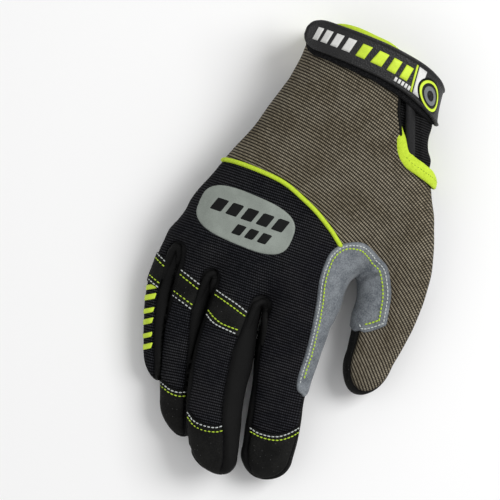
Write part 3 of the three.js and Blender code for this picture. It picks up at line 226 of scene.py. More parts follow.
SEAM_UNDER = 0.84  # side seams under the fingers, as a share of their half width
THUMB_SEAM = {"inner": 0.78, "root": 0.35, "outer": 0.06}  # shares of the thumb's half depth
SIDE_SEAM = 0.4
WRIST_SEAM = 95.5

# Fingertip caps: their seams in plan; knuckle bands: upper and lower edges in plan
CAPS = {
    "index": ((0, -92.8), (10, -94.4), (18, -93.4), (24, -89.9), (31, -83)),
    "middle": ((-34, -95), (-30.5, -96.4), (-26, -99.3), (-20, -100), (-14, -99), (-9.5, -96.2)),
    "ring": ((-52, -84.3), (-49.5, -85.8), (-44, -87.9), (-39, -87.9), (-33, -85.5)),
}
BANDS = {
    "middle": (((-40, -28.2), (-25, -31.9), (-16, -35)),
               ((-40, -44.5), (-32, -48.4), (-19, -49.9), (-16, -50))),
    "ring": (((-61, -24.2), (-46, -29)), ((-61, -40.8), (-46, -45))),
    "little": (((-76, -20.2), (-66, -23.7)), ((-76, -37.2), (-66, -40.2))),
}

# Suede pads under the fingers: start and end as shares of the finger's length
TIP_PADS = {"index": (0.62, 0.95), "middle": (0.7, 0.97), "ring": (0.68, 0.95), "little": (0.66, 0.94)}
JOINT_PADS = {"middle": (0.5, 0.64), "ring": (0.48, 0.61)}

WALL, SEAM_DEPTH, SEAM_WIDTH, OVERLAY_SINK = 1.4, 0.7, 0.9, 0.15
FINGERS = ("little", "ring", "middle", "index")
STRIPS = tuple(FORKS)
OWNERS = (*DIGITS, "palm")
OUTSIDE = -5.0  # a field's value where its piece can't be
CUT_REACH = -2.5  # triangles this far outside a cut are dropped first


def smooth(rows, column, value):
    """A cubic through the rows' points: Hermite pieces, where a row's slope is that of the line between its
    neighbours."""
    x, y = rows[:, 0], rows[:, column]
    slope = np.empty_like(y)
    slope[1:-1] = (y[2:] - y[:-2]) / (x[2:] - x[:-2])
    slope[0] = (y[1] - y[0]) / (x[1] - x[0])
    slope[-1] = (y[-1] - y[-2]) / (x[-1] - x[-2])
    i = np.clip(np.searchsorted(x, value) - 1, 0, len(x) - 2)
    width = x[i + 1] - x[i]
    t = np.clip((value - x[i]) / width, 0, 1)
    return ((2 * t**3 - 3 * t**2 + 1) * y[i] + (t**3 - 2 * t**2 + t) * slope[i] * width
            + (3 * t**2 - 2 * t**3) * y[i + 1] + (t**3 - t**2) * slope[i + 1] * width)


def ease(low, high, value):
    """0 below low, 1 above high, and 3t^2 - 2t^3 between."""
    t = np.clip((value - low) / (high - low), 0, 1)
    return t * t * (3 - 2 * t)


def line_at(points, x):
    """Height of a plan line of (x, y) points at x."""
    points = np.array(points)
    return np.interp(x, points[:, 0], points[:, 1])


def palm_section(y):
    """Centre x and z and half width and depth of the palm at y, from the rows' shares of palm and cuff."""
    share = y / PALM_LENGTH
    middle, width, low, depth, cuff = (smooth(PALM_ROWS, k, share) for k in range(1, 6))
    size = PALM_DEPTH + (CUFF_DEPTH - PALM_DEPTH) * cuff
    half = depth * size / 2
    across = width * (PALM_WIDTH + (CUFF_WIDTH - PALM_WIDTH) * cuff) / 2
    return middle * PALM_WIDTH, low * size + half, across, half


def digit_section(name, y):
    """The same four of a digit at y, held at its first and last rows."""
    digit = DIGITS[name]
    length, width, depth = digit["size"]
    root = digit["root"]
    rows = np.array(digit["rows"], float)
    at = np.clip((root[1] * PALM_LENGTH - y) / length, rows[0, 0], rows[-1, 0])
    aside, rise, wide, deep = (smooth(rows, k, at) for k in range(1, 5))
    x = root[0] * PALM_WIDTH + aside * length
    z = root[2] * PALM_DEPTH + rise * length
    return x, z, wide * width / 2, deep * depth / 2


def superellipse(dx, dz, a, b, past, base_power):
    """Roughly the distance in mm from a tube's skin, less than 0 inside.
    (|dx/a|^n + |dz/b|^n)^(2/n) + past^2 is 1 on the skin; n is larger below the middle, and past runs to 1 at the
    nose."""
    n = np.where(dz < 0, base_power, TOP_POWER)
    round_part = (np.abs(dx / a) ** n + np.abs(dz / b) ** n) ** (2 / n)
    return (np.sqrt(round_part + past**2) - 1) * b


def palm_field(p):
    """Distance from the palm's tube."""
    y = p[:, 1]
    end = PALM_ROWS[0, 0] * PALM_LENGTH
    x, z, a, b = palm_section(y)
    past = np.maximum(0, (end - y) / (PALM_NOSE["length"] * PALM_LENGTH))
    x = x + PALM_NOSE["drift"] * PALM_WIDTH * np.minimum(past, 1)
    return superellipse(p[:, 0] - x, p[:, 2] - z, a, b, past, PALM_BASE_POWER)


def digit_field(name, p):
    """Distance from a digit's tube. Behind its first row it grows again, inside the palm."""
    digit = DIGITS[name]
    length = digit["size"][0]
    root = digit["root"][1] * PALM_LENGTH
    y = p[:, 1]
    x, z, a, b = digit_section(name, y)
    past = np.maximum(0, (root - digit["rows"][-1][0] * length - y) / (digit["nose"][0] * length))
    x = x + digit["nose"][1] * length * np.minimum(past, 1)
    z = z + digit["nose"][2] * length * np.minimum(past, 1)
    start = root - digit["rows"][0][0] * length
    return superellipse(p[:, 0] - x, p[:, 2] - z, a, b, past, FINGER_BASE_POWER) + np.maximum(0, y - start)


def soft_min(a, b, k):
    """The lower of two distances, rounded over k mm: min(a, b) - h^2 k / 4 with h = max(k - |a - b|, 0) / k."""
    h = np.maximum(k - np.abs(a - b), 0) / k
    return np.minimum(a, b) - h * h * k / 4


def pressed_field(name, p):
    """A digit's distance once the one lying over it has pressed its flank flat."""
    own = digit_field(name, p)
    over = PRESSED_BY.get(name)
    if over is None:
        return own
    return -soft_min(-own, digit_field(over, p) - PRESS_GAP, PRESS_BLEND)


def glove_field(p):
    """Distance from the whole glove: each digit flows into the palm, the digits only touch, and the floor side is
    flat."""
    palm = palm_field(p)
    whole = palm
    for name, blend in ROOT_BLEND.items():
        if name == "thumb":
            away_from = np.hypot(p[:, 0] - CROTCH[0], p[:, 1] - CROTCH[1])
            blend = CROTCH_BLEND + (blend - CROTCH_BLEND) * ease(*CROTCH_REACH, away_from)
        whole = np.minimum(whole, soft_min(palm, pressed_field(name, p), blend))
    return -soft_min(-whole, p[:, 2] - PALM_FLOOR, FLOOR_BLEND)


def slope_of(field, p, step=0.05):
    """Gradient of a field by central differences."""
    parts = []
    for axis in np.eye(3) * step:
        parts.append((field(p + axis) - field(p - axis)) / (2 * step))
    return np.stack(parts, 1)


def unit(v):
    return v / np.maximum(np.linalg.norm(v, axis=-1, keepdims=True), 1e-9)


def to_skin(p, rounds=3):
    """Moves points on to the skin by Newton steps along the field's slope."""
    for _ in range(rounds):
        g = slope_of(glove_field, p)
        step = glove_field(p) / np.maximum((g * g).sum(1), 0.05)
        p = p - np.clip(step, -1.5, 1.5)[:, None] * g
    return p


def skin_normal(p):
    return unit(slope_of(glove_field, p))


def dropped(xy, from_below=False):
    """Plan points dropped on to the skin, or raised to it from below: the first height where the field changes
    sign."""
    heights = np.arange(0, 60, 0.5)
    heights = heights if from_below else heights[::-1]
    n = len(xy)
    p = np.concatenate([np.repeat(xy, len(heights), 0), np.tile(heights, n)[:, None]], 1)
    first = np.argmax(glove_field(p).reshape(n, -1) < 0, 1)
    return to_skin(np.column_stack([xy, heights[first]]), 4)


def on_skin(p):
    """The points that lie on the skin, without those that a plan line beside the glove leaves in the air."""
    return p[np.abs(glove_field(p)) < 0.2]


SKIN_STEP = 0.85
SKIN_BOX = np.array([(-79.0, -129.0, 2.0), (75.0, 133.0, 56.0)])


@functools.lru_cache(None)
def skin():
    """The glove's skin as points and triangles: one point in each cell of a fine grid where the field changes sign,
    at the mean of its edges' crossings and then moved on to the skin, and a square round each crossed edge."""
    axes = [np.arange(lo, hi, SKIN_STEP) for lo, hi in SKIN_BOX.T]
    shape = tuple(len(a) for a in axes)
    field = np.empty(shape, np.float64)
    zz, yy = np.meshgrid(axes[2], axes[1])
    for i, x in enumerate(axes[0]):
        p = np.column_stack([np.full(yy.size, x), yy.ravel(), zz.ravel()])
        field[i] = glove_field(p).reshape(yy.shape)
    inside = field < 0
    strides = np.array([shape[1] * shape[2], shape[2], 1])
    cells, spots, quads = [], [], []
    for axis in range(3):
        a = np.moveaxis(field, axis, 0)
        s = np.moveaxis(inside, axis, 0)
        k = np.argwhere(s[1:] != s[:-1])
        here, ahead = a[:-1][tuple(k.T)], a[1:][tuple(k.T)]
        t = here / (here - ahead)
        leaves = s[:-1][tuple(k.T)]
        order = [axis] + [n for n in range(3) if n != axis]
        at = np.empty_like(k)
        at[:, order] = k
        b, c = order[1], order[2]
        keep = (at[:, b] > 0) & (at[:, c] > 0)
        at, t, leaves = at[keep], t[keep], leaves[keep]
        spot = at.astype(float)
        spot[:, axis] += t
        base = at @ strides
        corners = np.stack([base, base - strides[b], base - strides[b] - strides[c], base - strides[c]], 1)
        cells.append(corners.ravel())
        spots.append(np.repeat(spot, 4, 0))
        flip = leaves if axis != 1 else ~leaves
        quads.append(np.where(flip[:, None], corners, corners[:, ::-1]))
    cells, spots, quads = np.concatenate(cells), np.concatenate(spots), np.concatenate(quads)
    used, index = np.unique(cells, return_inverse=True)
    count = np.bincount(index)
    points = np.stack([np.bincount(index, spots[:, n]) / count for n in range(3)], 1)
    quads = np.searchsorted(used, quads)
    triangles = np.concatenate([quads[:, [0, 1, 2]], quads[:, [0, 2, 3]]])
    return to_skin(SKIN_BOX[0] + points * SKIN_STEP), triangles


# Fields over the skin, above 0 inside a piece


def inside_outline(outline, xy):
    """Distance in plan to a closed outline, above 0 inside it: nearest edge, with the sign of the crossing count."""
    a = np.array(outline, float)
    b = np.roll(a, -1, 0)
    best = np.full(len(xy), 1e9)
    odd = np.zeros(len(xy), bool)
    for p, q in zip(a, b):
        d = q - p
        w = xy - p
        t = np.clip((w @ d) / (d @ d), 0, 1)
        best = np.minimum(best, ((w - t[:, None] * d) ** 2).sum(1))
        crosses = (p[1] > xy[:, 1]) != (q[1] > xy[:, 1])
        rise = d[1] if d[1] else 1e-9
        odd ^= crosses & (xy[:, 0] < p[0] + (xy[:, 1] - p[1]) * d[0] / rise)
    return np.where(odd, 1, -1) * np.sqrt(best)


def rounded(outline, per_side=6, closed=True):
    """A smooth curve through the outline's points: Catmull-Rom pieces."""
    p = np.array(outline, float)
    if closed:
        before, after, ahead = np.roll(p, 1, 0), np.roll(p, -1, 0), np.roll(p, -2, 0)
    else:
        ends = np.concatenate([[2 * p[0] - p[1]], p, [2 * p[-1] - p[-2]]])
        before, p, after, ahead = ends[:-3], ends[1:-2], ends[2:-1], ends[3:]
    t = (np.arange(per_side) / per_side)[None, :, None]
    a, b, c, d = (v[:, None, :] for v in (before, p, after, ahead))
    curve = 0.5 * (2 * b + (c - a) * t + (2 * a - 5 * b + 4 * c - d) * t**2
                   + (3 * b - 3 * c + d - a) * t**3)
    curve = curve.reshape(-1, p.shape[1])
    return curve if closed else np.vstack([curve, after[-1]])


def parting_height(xy):
    """Height of the seam between back and palm: through the digits' middles, and low along the palm's sides."""
    x, y = xy.T
    _, z, _, b = palm_section(np.clip(y, PALM_ROWS[0, 0] * PALM_LENGTH, PALM_ROWS[-1, 0] * PALM_LENGTH))
    seam = z - b + 2 * b * SIDE_SEAM
    fork = DIGITS["index"]["root"][1] * PALM_LENGTH
    on_palm = ease(fork, -fork, y)
    places, heights = [], []
    for name in ("little", "ring", "middle", "index"):
        dx, dz, _, _ = digit_section(name, y)
        places.append(dx)
        heights.append(dz + (seam - dz) * on_palm)
    tx, tz, ta, tb = digit_section("thumb", y)
    at_cuff = ease(PALM_LENGTH * 0.25, PALM_LENGTH * 0.4, y)
    tip = ease(0, 1, (-6 - y) / 20)
    inner = THUMB_SEAM["inner"] * tip + THUMB_SEAM["root"] * (1 - tip)
    for side, rise in ((-0.9, inner), (1.0, THUMB_SEAM["outer"])):
        places.append(tx + side * ta)
        thumb = tz + rise * tb
        heights.append(thumb + (seam - thumb) * at_cuff)
    result = heights[0].copy()
    for k in range(len(places) - 1):
        t = np.clip((x - places[k]) / np.maximum(places[k + 1] - places[k], 0.1), 0, 1)
        result = np.where(x > places[k], heights[k] + (heights[k + 1] - heights[k]) * t, result)
    return result


def wrist_angle(p):
    """Angle round the wrist's section in degrees, 0 at the thumb side and 90 at the back."""
    x, z, a, b = palm_section(p[:, 1])
    u, w = (p[:, 0] - x) / a, (p[:, 2] - z) / b
    n = np.where(w < 0, PALM_BASE_POWER, TOP_POWER) / 2
    angle = np.degrees(np.arctan2(np.sign(w) * np.abs(w) ** n, np.sign(u) * np.abs(u) ** n))
    return np.where(angle < RIM_ROWS[0, 0], angle + 360, angle)


@functools.lru_cache(None)
def skin_columns():
    """What every panel is cut by, one column each: position, normal, and the fields of the seams in mm."""
    p, triangles = skin()
    xy = p[:, :2]
    owner = np.argmin([*(pressed_field(name, p) for name in DIGITS), palm_field(p) + 1.0], 0)
    columns = {"x": p[:, 0], "y": p[:, 1], "z": p[:, 2]}
    columns.update(zip(("nx", "ny", "nz"), skin_normal(p).T))
    columns["above"] = p[:, 2] - parting_height(xy)
    seam = np.vstack([rounded(PIPING_LINE, 6, False), HIDDEN_SEAM])
    region = [(-300, seam[0, 1])] + [tuple(v) for v in seam] + [(seam[-1, 0], -300), (-300, -300)]
    columns["knuckle"] = inside_outline(region, xy)
    columns["rim"] = smooth(RIM_ROWS, 1, wrist_angle(p)) * PALM_LENGTH - p[:, 1]
    columns["wrist"] = p[:, 1] - WRIST_SEAM
    for name, line in CAPS.items():
        beyond = line_at(line, p[:, 0]) - p[:, 1]
        columns["cap_" + name] = np.where(owner == OWNERS.index(name), beyond, OUTSIDE)
    for name, fork in FORKS.items():
        columns[name] = strip_field(fork, p, owner)
    columns["owner"] = owner.astype(float)
    return columns, triangles


def strip_field(fork, p, owner):
    """Distance into a side strip: between its two edges, round its head at the fork, and lower down the seams under
    the fingers. Each finger knows only the edge on its own flank."""
    x, y, z = p.T
    hx, hy, radius = fork["head"]
    left_name, right_name = fork["sides"]
    parts = []
    for side, name in ((1, left_name), (-1, right_name)):
        edge = np.array(fork["left" if side > 0 else "right"], float)
        cx, cz, a, _ = digit_section(name, y)
        on_back = np.interp(y, edge[:, 0], edge[:, 1])
        under = cx + side * SEAM_UNDER * a
        back = ease(-1.5, 1.5, z - cz)
        parts.append(side * (x - (under + (on_back - under) * back)))
    left, right = parts
    both = np.minimum(left, right)
    value = np.where(owner == OWNERS.index(left_name), left, both)
    value = np.where(owner == OWNERS.index(right_name), right, value)
    head = radius - np.hypot(x - hx, y - hy)
    value = np.where(y > hy, head, value)
    near = np.isin(owner, [OWNERS.index(n) for n in (left_name, right_name, "palm")])
    return np.where(near, value, OUTSIDE)


def keep_above(table, triangles, values):
    """The part of a triangle mesh where values are above 0. Each cut edge gets one point at its crossing, with every
    column of the table mixed in step."""
    values = np.where(np.abs(values) < 1e-6, 1e-6, values)
    sign = values > 0
    count = sign[triangles].sum(1)
    whole = triangles[count == 3]
    new_triangles = [whole]
    edges = []
    for inside_count in (1, 2):
        t = triangles[count == inside_count]
        s = sign[t]
        lone = np.argmax(s if inside_count == 1 else ~s, 1)
        rows = np.arange(len(t))
        a, b, c = t[rows, lone], t[rows, (lone + 1) % 3], t[rows, (lone + 2) % 3]
        edges.append((a, b, c))
    (a1, b1, c1), (a2, b2, c2) = edges
    pairs = np.concatenate([np.stack(v, 1) for v in ((a1, b1), (a1, c1), (a2, b2), (a2, c2))])
    pairs = np.sort(pairs, 1)
    unique, index = np.unique(pairs, axis=0, return_inverse=True)
    index = index.ravel() + len(table)
    lo, hi = unique.T
    t = (values[lo] / (values[lo] - values[hi]))[:, None]
    table = np.vstack([table, table[lo] * (1 - t) + table[hi] * t])
    n1, n2 = len(a1), len(a2)
    ab1, ac1 = index[:n1], index[n1:2 * n1]
    ab2, ac2 = index[2 * n1:2 * n1 + n2], index[2 * n1 + n2:]
    new_triangles.append(np.stack([a1, ab1, ac1], 1))
    new_triangles.append(np.stack([ab2, b2, c2], 1))
    new_triangles.append(np.stack([ab2, c2, ac2], 1))
    triangles = np.concatenate(new_triangles)
    used, compact = np.unique(triangles, return_inverse=True)
    return table[used], compact.reshape(-1, 3)


def cut_panel(cuts):
    """A panel of the skin: cuts is a list of (column, sign), or of arrays over the whole skin.
    Returns its columns by name, with each point's distance to the nearest cut, and its triangles."""
    columns, triangles = skin_columns()
    fields = [cut if isinstance(cut, np.ndarray) else columns[cut[0]] * cut[1] for cut in cuts]
    table = np.column_stack([*columns.values(), *fields])
    first = len(columns)
    near = (table[:, first:] > CUT_REACH).all(1)
    triangles = triangles[near[triangles].all(1)]
    for k in range(first, first + len(fields)):
        table, triangles = keep_above(table, triangles, table[:, k])
    result = {name: table[:, k] for k, name in enumerate(columns)}
    result["seam"] = np.clip(table[:, first:].min(1), 0, 20)
    return result, triangles


# Meshes


def largest_body(points, triangles):
    """Drops the crumbs that a cut leaves: keeps the triangles joined to the piece with the most of them."""
    label = np.arange(len(points))
    while True:
        low = label[triangles].min(1)
        new = label.copy()
        for k in range(3):
            np.minimum.at(new, triangles[:, k], low)
        new = new[new]
        if (new == label).all():
            break
        label = new
    group = label[triangles[:, 0]]
    names, count = np.unique(group, return_counts=True)
    return triangles[group == names[np.argmax(count)]]


def thick_faces(triangles, count):
    """Faces of a sheet with its underside and the walls between: the underside is the sheet turned over, and each
    edge that only one triangle has gets two triangles."""
    edges = np.concatenate([triangles[:, [0, 1]], triangles[:, [1, 2]], triangles[:, [2, 0]]])
    key = np.sort(edges, 1)
    _, index, times = np.unique(key, axis=0, return_inverse=True, return_counts=True)
    rim = edges[times[index.ravel()] == 1]
    a, b = rim.T
    walls = np.concatenate([np.stack([b, a, a + count], 1), np.stack([b, a + count, b + count], 1)])
    return np.concatenate([triangles, triangles[:, ::-1] + count, walls])


def new_piece(name, points, faces, look, replaces=(), uv=None, seam=None):
    """A mesh object from arrays, riding on the glove's one body. Its seam attribute is each point's distance to the
    nearest seam in mm."""
    name = "sewn_" + name
    mesh = bpy.data.meshes.new(name)
    points = (np.asarray(points, float) + SHIFT) * MM
    faces = np.asarray(faces)
    mesh.vertices.add(len(points))
    mesh.vertices.foreach_set("co", points.ravel())
    mesh.loops.add(faces.size)
    mesh.loops.foreach_set("vertex_index", faces.ravel().astype(np.int32))
    mesh.polygons.add(len(faces))
    mesh.polygons.foreach_set("loop_start", np.arange(len(faces), dtype=np.int32) * faces.shape[1])
    mesh.update(calc_edges=True)
    mesh.polygons.foreach_set("use_smooth", np.full(len(faces), True))
    if uv is not None:
        layer = mesh.uv_layers.new(name="weave")
        layer.data.foreach_set("uv", (uv[faces.ravel()] * MM).ravel())
    seam = np.full(len(points), 5.0) if seam is None else seam
    mesh.attributes.new("seam", "FLOAT", "POINT").data.foreach_set("value", seam.astype(np.float32))
    mesh.validate()
    mesh.materials.append(finish(look))
    piece = bpy.data.objects.new(name, mesh)
    bpy.context.scene.collection.objects.link(piece)
    if replaces:
        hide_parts(*replaces)
    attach(piece, "root")
    return piece


def grid_faces(rows, columns, wrap_rows=False, wrap_columns=False):
    """Squares of a grid of rows x columns points, closed on itself where asked."""
    i = np.arange(rows if wrap_rows else rows - 1)[:, None]
    j = np.arange(columns if wrap_columns else columns - 1)[None, :]
    a = i * columns + j
    b = i * columns + (j + 1) % columns
    c = ((i + 1) % rows) * columns + (j + 1) % columns
    d = ((i + 1) % rows) * columns + j
    return np.stack([a, b, c, d], -1).reshape(-1, 4)


def slab(outer, inner):
    """A closed plate between two grids of points: both grids and the four walls round them."""
    rows, columns = outer.shape[:2]
    n = rows * columns
    top = grid_faces(rows, columns)
    index = np.arange(n).reshape(rows, columns)
    ring = np.concatenate([index[0, :-1], index[:-1, -1], index[-1, :0:-1], index[:0:-1, 0]])
    after = np.roll(ring, -1)
    walls = np.stack([ring, ring + n, after + n, after], 1)
    points = np.concatenate([outer.reshape(-1, 3), inner.reshape(-1, 3)])
    return points, np.concatenate([top, top[:, ::-1] + n, walls])


def outward(points, faces):
    """The faces turned over if the closed mesh that they make is inside out, by the sign of its volume."""
    p = points[faces]
    volume = 0
    for k in range(1, faces.shape[1] - 1):
        volume += np.einsum("ij,ij->i", p[:, 0], np.cross(p[:, k], p[:, k + 1])).sum()
    return faces if volume > 0 else faces[:, ::-1]


def closed_ends(points, faces, rows, columns):
    """The first and the last ring of a grid closed with a fan of faces round one point at the ring's middle."""
    ends = []
    for start, turn in ((0, 1), ((rows - 1) * columns, -1)):
        centre = len(points)
        points = np.vstack([points, points[start:start + columns].mean(0)])
        ring = np.arange(columns)[::turn] + start
        ends.append(np.stack([np.full(columns, centre), np.roll(ring, -1), ring, ring], 1))
    return points, np.concatenate([faces] + ends)


def swept(path, normals, outline, closed=False, wide=1.0, high=1.0):
    """A profile carried along a path: outline holds (across, up) offsets, up along the normals. wide and high
    stretch it at each point of the path."""
    if closed:
        along = np.roll(path, -1, 0) - np.roll(path, 1, 0)
    else:
        along = np.gradient(path, axis=0)
    along = unit(along)
    across = unit(np.cross(along, normals))
    up = unit(np.cross(across, along))
    outline = np.array(outline, float)
    across = across * np.reshape(np.broadcast_to(wide, len(path)), (-1, 1))
    up = up * np.reshape(np.broadcast_to(high, len(path)), (-1, 1))
    points = path[:, None] + across[:, None] * outline[None, :, :1] + up[:, None] * outline[None, :, 1:]
    rows, columns = len(path), len(outline)
    points = points.reshape(-1, 3)
    faces = grid_faces(rows, columns, closed, True)
    if closed:
        return points, outward(points, faces)
    return closed_ends(points, faces, rows, columns)


def triangles_of(points, faces):
    """Triangles of squares, without the flat ones at a pole."""
    t = np.concatenate([faces[:, [0, 1, 2]], faces[:, [0, 2, 3]]])
    good = (t[:, 0] != t[:, 1]) & (t[:, 1] != t[:, 2]) & (t[:, 0] != t[:, 2])
    return outward(points, t[good])


def oval(width, height, sides):
    angle = np.linspace(0, 2 * np.pi, sides, endpoint=False)
    return np.column_stack([np.cos(angle) * width / 2, np.sin(angle) * height / 2])


def evenly(path, pitch):
    """Points a pitch apart along a path, and the path's direction there."""
    length = np.concatenate([[0], np.cumsum(np.linalg.norm(np.diff(path, axis=0), axis=1))])
    count = max(int(length[-1] / pitch), 1)
    s = (np.arange(count) + 0.5) * length[-1] / count
    spots, ahead, behind = (np.stack([np.interp(s + step, length, path[:, k]) for k in range(3)], 1)
                            for step in (0, 0.1, -0.1))
    return spots, unit(ahead - behind)


def sew(name, rows, look, pitch, length, thick, lift=0.15):
    """Stitches along rows of points on the skin: each is a small bead of thread, an ellipse drawn out along the row
    whose ends dip into the cloth, made once and set at every pitch."""
    sides = 6
    angle = np.linspace(0, 2 * np.pi, sides, endpoint=False)
    t = np.array([-1, -0.72, 0, 0.72, 1.0])
    radius = np.array([0.25, 0.8, 1.0, 0.8, 0.25])[:, None] * thick / 2
    dip = -0.42 * thick * t[:, None] ** 2
    bead = np.stack([
        np.repeat(t * length / 2, sides),
        (radius * np.cos(angle)).ravel(),
        (radius * np.sin(angle) + dip).ravel(),
    ], 1)
    caps = np.array([[5, 4, 3, 2], [5, 2, 1, 0], [24, 25, 26, 27], [24, 27, 28, 29]])
    bead_faces = np.concatenate([grid_faces(len(t), sides, False, True), caps])
    spots, alongs, ups = [], [], []
    for path, normal in rows:
        spot, along = evenly(path, pitch)
        nearest = np.argmin(((spot[:, None] - path[None]) ** 2).sum(2), 1)
        spots.append(spot)
        alongs.append(along)
        ups.append(normal[nearest])
    spot, along, up = (np.concatenate(v) for v in (spots, alongs, ups))
    across = unit(np.cross(up, along))
    up = np.cross(along, across)
    points = (spot[:, None] + bead[None, :, :1] * along[:, None] + bead[None, :, 1:2] * across[:, None]
              + (bead[None, :, 2:] + lift) * up[:, None])
    faces = bead_faces[None] + (np.arange(len(spot)) * len(bead))[:, None, None]
    points = points.reshape(-1, 3)
    new_piece(name, points, outward(points, faces.reshape(-1, 4)), look, (), points[:, :2])


def sweep_map(path, sides, pitch):
    """Weave coordinates of a swept piece: along its path, and round its profile."""
    step = np.concatenate([[0], np.linalg.norm(np.diff(path, axis=0), axis=1).cumsum()])
    return np.column_stack([np.repeat(step, sides), np.tile(np.arange(sides) * pitch, len(path))])


def cord_piece(name, path, normals, lift, profile, pitch, look, replaces=()):
    """A piece with a profile carried along a path, lifted off it along the normals and closed at both ends."""
    points, faces = swept(path + normals * np.reshape(lift, (-1, 1)), normals, profile)
    uv = np.vstack([sweep_map(path, len(profile), pitch), np.zeros((2, 2))])
    new_piece(name, points, triangles_of(points, faces), look, replaces, uv)


# Shader maths

TAPE_PITCH = 0.75


class Value:
    """A number in a material's node tree, with the usual operators."""

    def __init__(self, tree, socket):
        self.tree, self.socket = tree, socket

    def math(self, operation, *others):
        inputs = dict(enumerate((self, *others)))
        return self.tree.node("ShaderNodeMath", {"operation": operation}, inputs, 0)

    def __add__(self, other):
        return self.math("ADD", other)

    __radd__ = __add__

    def __mul__(self, other):
        return self.math("MULTIPLY", other)

    __rmul__ = __mul__

    def __sub__(self, other):
        return self.math("SUBTRACT", other)

    def __rsub__(self, other):
        return (self * -1.0) + other

    def __truediv__(self, other):
        return self.math("DIVIDE", other)

    def __abs__(self):
        return self.math("ABSOLUTE")

    def sine(self):
        return self.math("SINE")

    def floor(self):
        return self.math("FLOOR")

    def eased(self, low, high):
        settings = {"interpolation_type": "SMOOTHSTEP"}
        return self.tree.node("ShaderNodeMapRange", settings, {0: self, 1: low, 2: high}, 0)


class Finish:
    """One material: its node tree, and one method that adds any node."""

    def __init__(self, name, roughness, sheen=0.0, specular=0.5):
        self.material = bpy.data.materials.new(name)
        self.material.use_nodes = True
        self.tree = self.material.node_tree
        self.surface = self.tree.nodes["Principled BSDF"]
        self.surface.inputs["Roughness"].default_value = roughness
        self.surface.inputs["Specular IOR Level"].default_value = specular
        self.surface.inputs["Sheen Weight"].default_value = sheen

    def node(self, kind, settings=None, inputs=None, output=None):
        node = self.tree.nodes.new(kind)
        for key, value in (settings or {}).items():
            setattr(node, key, value)
        for key, value in (inputs or {}).items():
            self.feed(node.inputs[key], value)
        return node if output is None else Value(self, node.outputs[output])

    def feed(self, socket, value):
        if isinstance(value, Value):
            self.tree.links.new(value.socket, socket)
        else:
            socket.default_value = value

    def place(self):
        return self.node("ShaderNodeTexCoord", None, None, "Object")

    def weave(self):
        """The weave map's two coordinates in mm: across the ribs' threads, and along from rib to rib."""
        uv = self.node("ShaderNodeUVMap", {"uv_map": "weave"}, None, 0)
        parts = self.node("ShaderNodeSeparateXYZ", None, {0: uv})
        return Value(self, parts.outputs[0]) / MM, Value(self, parts.outputs[1]) / MM

    def attribute(self, name):
        return self.node("ShaderNodeAttribute", {"attribute_name": name}, None, "Fac")

    def noise(self, size, detail=2.0, rough=0.5):
        """Cloudy noise whose lumps are about size mm across, from 0 to 1."""
        inputs = {"Vector": self.place(), "Scale": 1 / (size * MM), "Detail": detail, "Roughness": rough}
        return self.node("ShaderNodeTexNoise", None, inputs, "Fac")

    def random(self, first, second):
        """A random number from 0 to 1 for each pair of whole numbers."""
        pair = self.node("ShaderNodeCombineXYZ", None, {0: first, 1: second}, 0)
        return self.node("ShaderNodeTexWhiteNoise", {"noise_dimensions": "3D"}, {"Vector": pair}, "Value")

    def cells(self, size):
        """Distance to the nearest of scattered points about size mm apart."""
        inputs = {"Vector": self.place(), "Scale": 1 / (size * MM)}
        return self.node("ShaderNodeTexVoronoi", None, inputs, "Distance")

    def mixed(self, share, first, second):
        """A colour between two: share 0 gives the first."""
        settings = {"data_type": "RGBA"}
        inputs = {0: share, 6: colour(first), 7: colour(second)}
        return self.node("ShaderNodeMix", settings, inputs, 2)

    def paint(self, value):
        self.feed(self.surface.inputs["Base Color"], colour(value))

    def rough(self, value):
        self.feed(self.surface.inputs["Roughness"], value)

    def relief(self, height, depth):
        """Bumps of height times depth mm."""
        inputs = {"Strength": 1.0, "Distance": depth * MM, "Height": height}
        bump = self.node("ShaderNodeBump", None, inputs, 0)
        self.tree.links.new(bump.socket, self.surface.inputs["Normal"])


def colour(value):
    """A colour as sockets want it: a node's as it is, three numbers with alpha 1."""
    return value if isinstance(value, Value) else (*value[:3], 1.0)


def sized(rgb):
    """Screen colour in 0..255 to linear light."""
    c = np.array(rgb, float) / 255
    return tuple(np.where(c <= 0.04045, c / 12.92, ((c + 0.055) / 1.055) ** 2.4))


def ribbed_knit(name, pitch, thread_width, crest, groove, tint, depth, dotted=0.5):
    """Stretch knit: round ribs a pitch apart, with the grooves between them and the gaps between loops darkened as
    painted shade.
    Each rib is a row of short loops, every loop with a tone of its own from a random number of its row and place;
    slow clouds shift the whole colour, and painted shade darkens it near seams."""
    f = Finish(name, 0.92, specular=0.06)
    across, along = f.weave()
    wobble = (f.noise(12) - 0.5) * 0.5
    phase = (along + wobble) / pitch
    rib = phase.floor()
    ridge = abs((phase * np.pi).sine())
    loops = across / thread_width + rib * 0.12
    loop = abs((loops * np.pi).sine()).eased(0.15, 0.9)
    own = f.random(loops.floor(), rib)
    body = ridge.eased(0.25, 0.9)
    lit = f.mixed(f.noise(16, 3).eased(0.35, 0.65), crest, tint)
    bright = f.mixed(own * 0.3, lit, tuple(min(1, c * 1.6) for c in crest))
    # painted shade: within 1.6 mm of a seam the knit's colour sinks towards its groove colour
    seam_shade = f.attribute("seam").eased(0, 1.6) * 0.55 + 0.45
    shade = body * (loop * dotted + (1 - dotted)) * (own * 0.2 + 0.8) * seam_shade
    f.paint(f.mixed(shade, groove, bright))
    f.relief(body * 0.7 + body * loop * 0.3, depth)
    f.rough(own * 0.08 + 0.86)
    return f.material


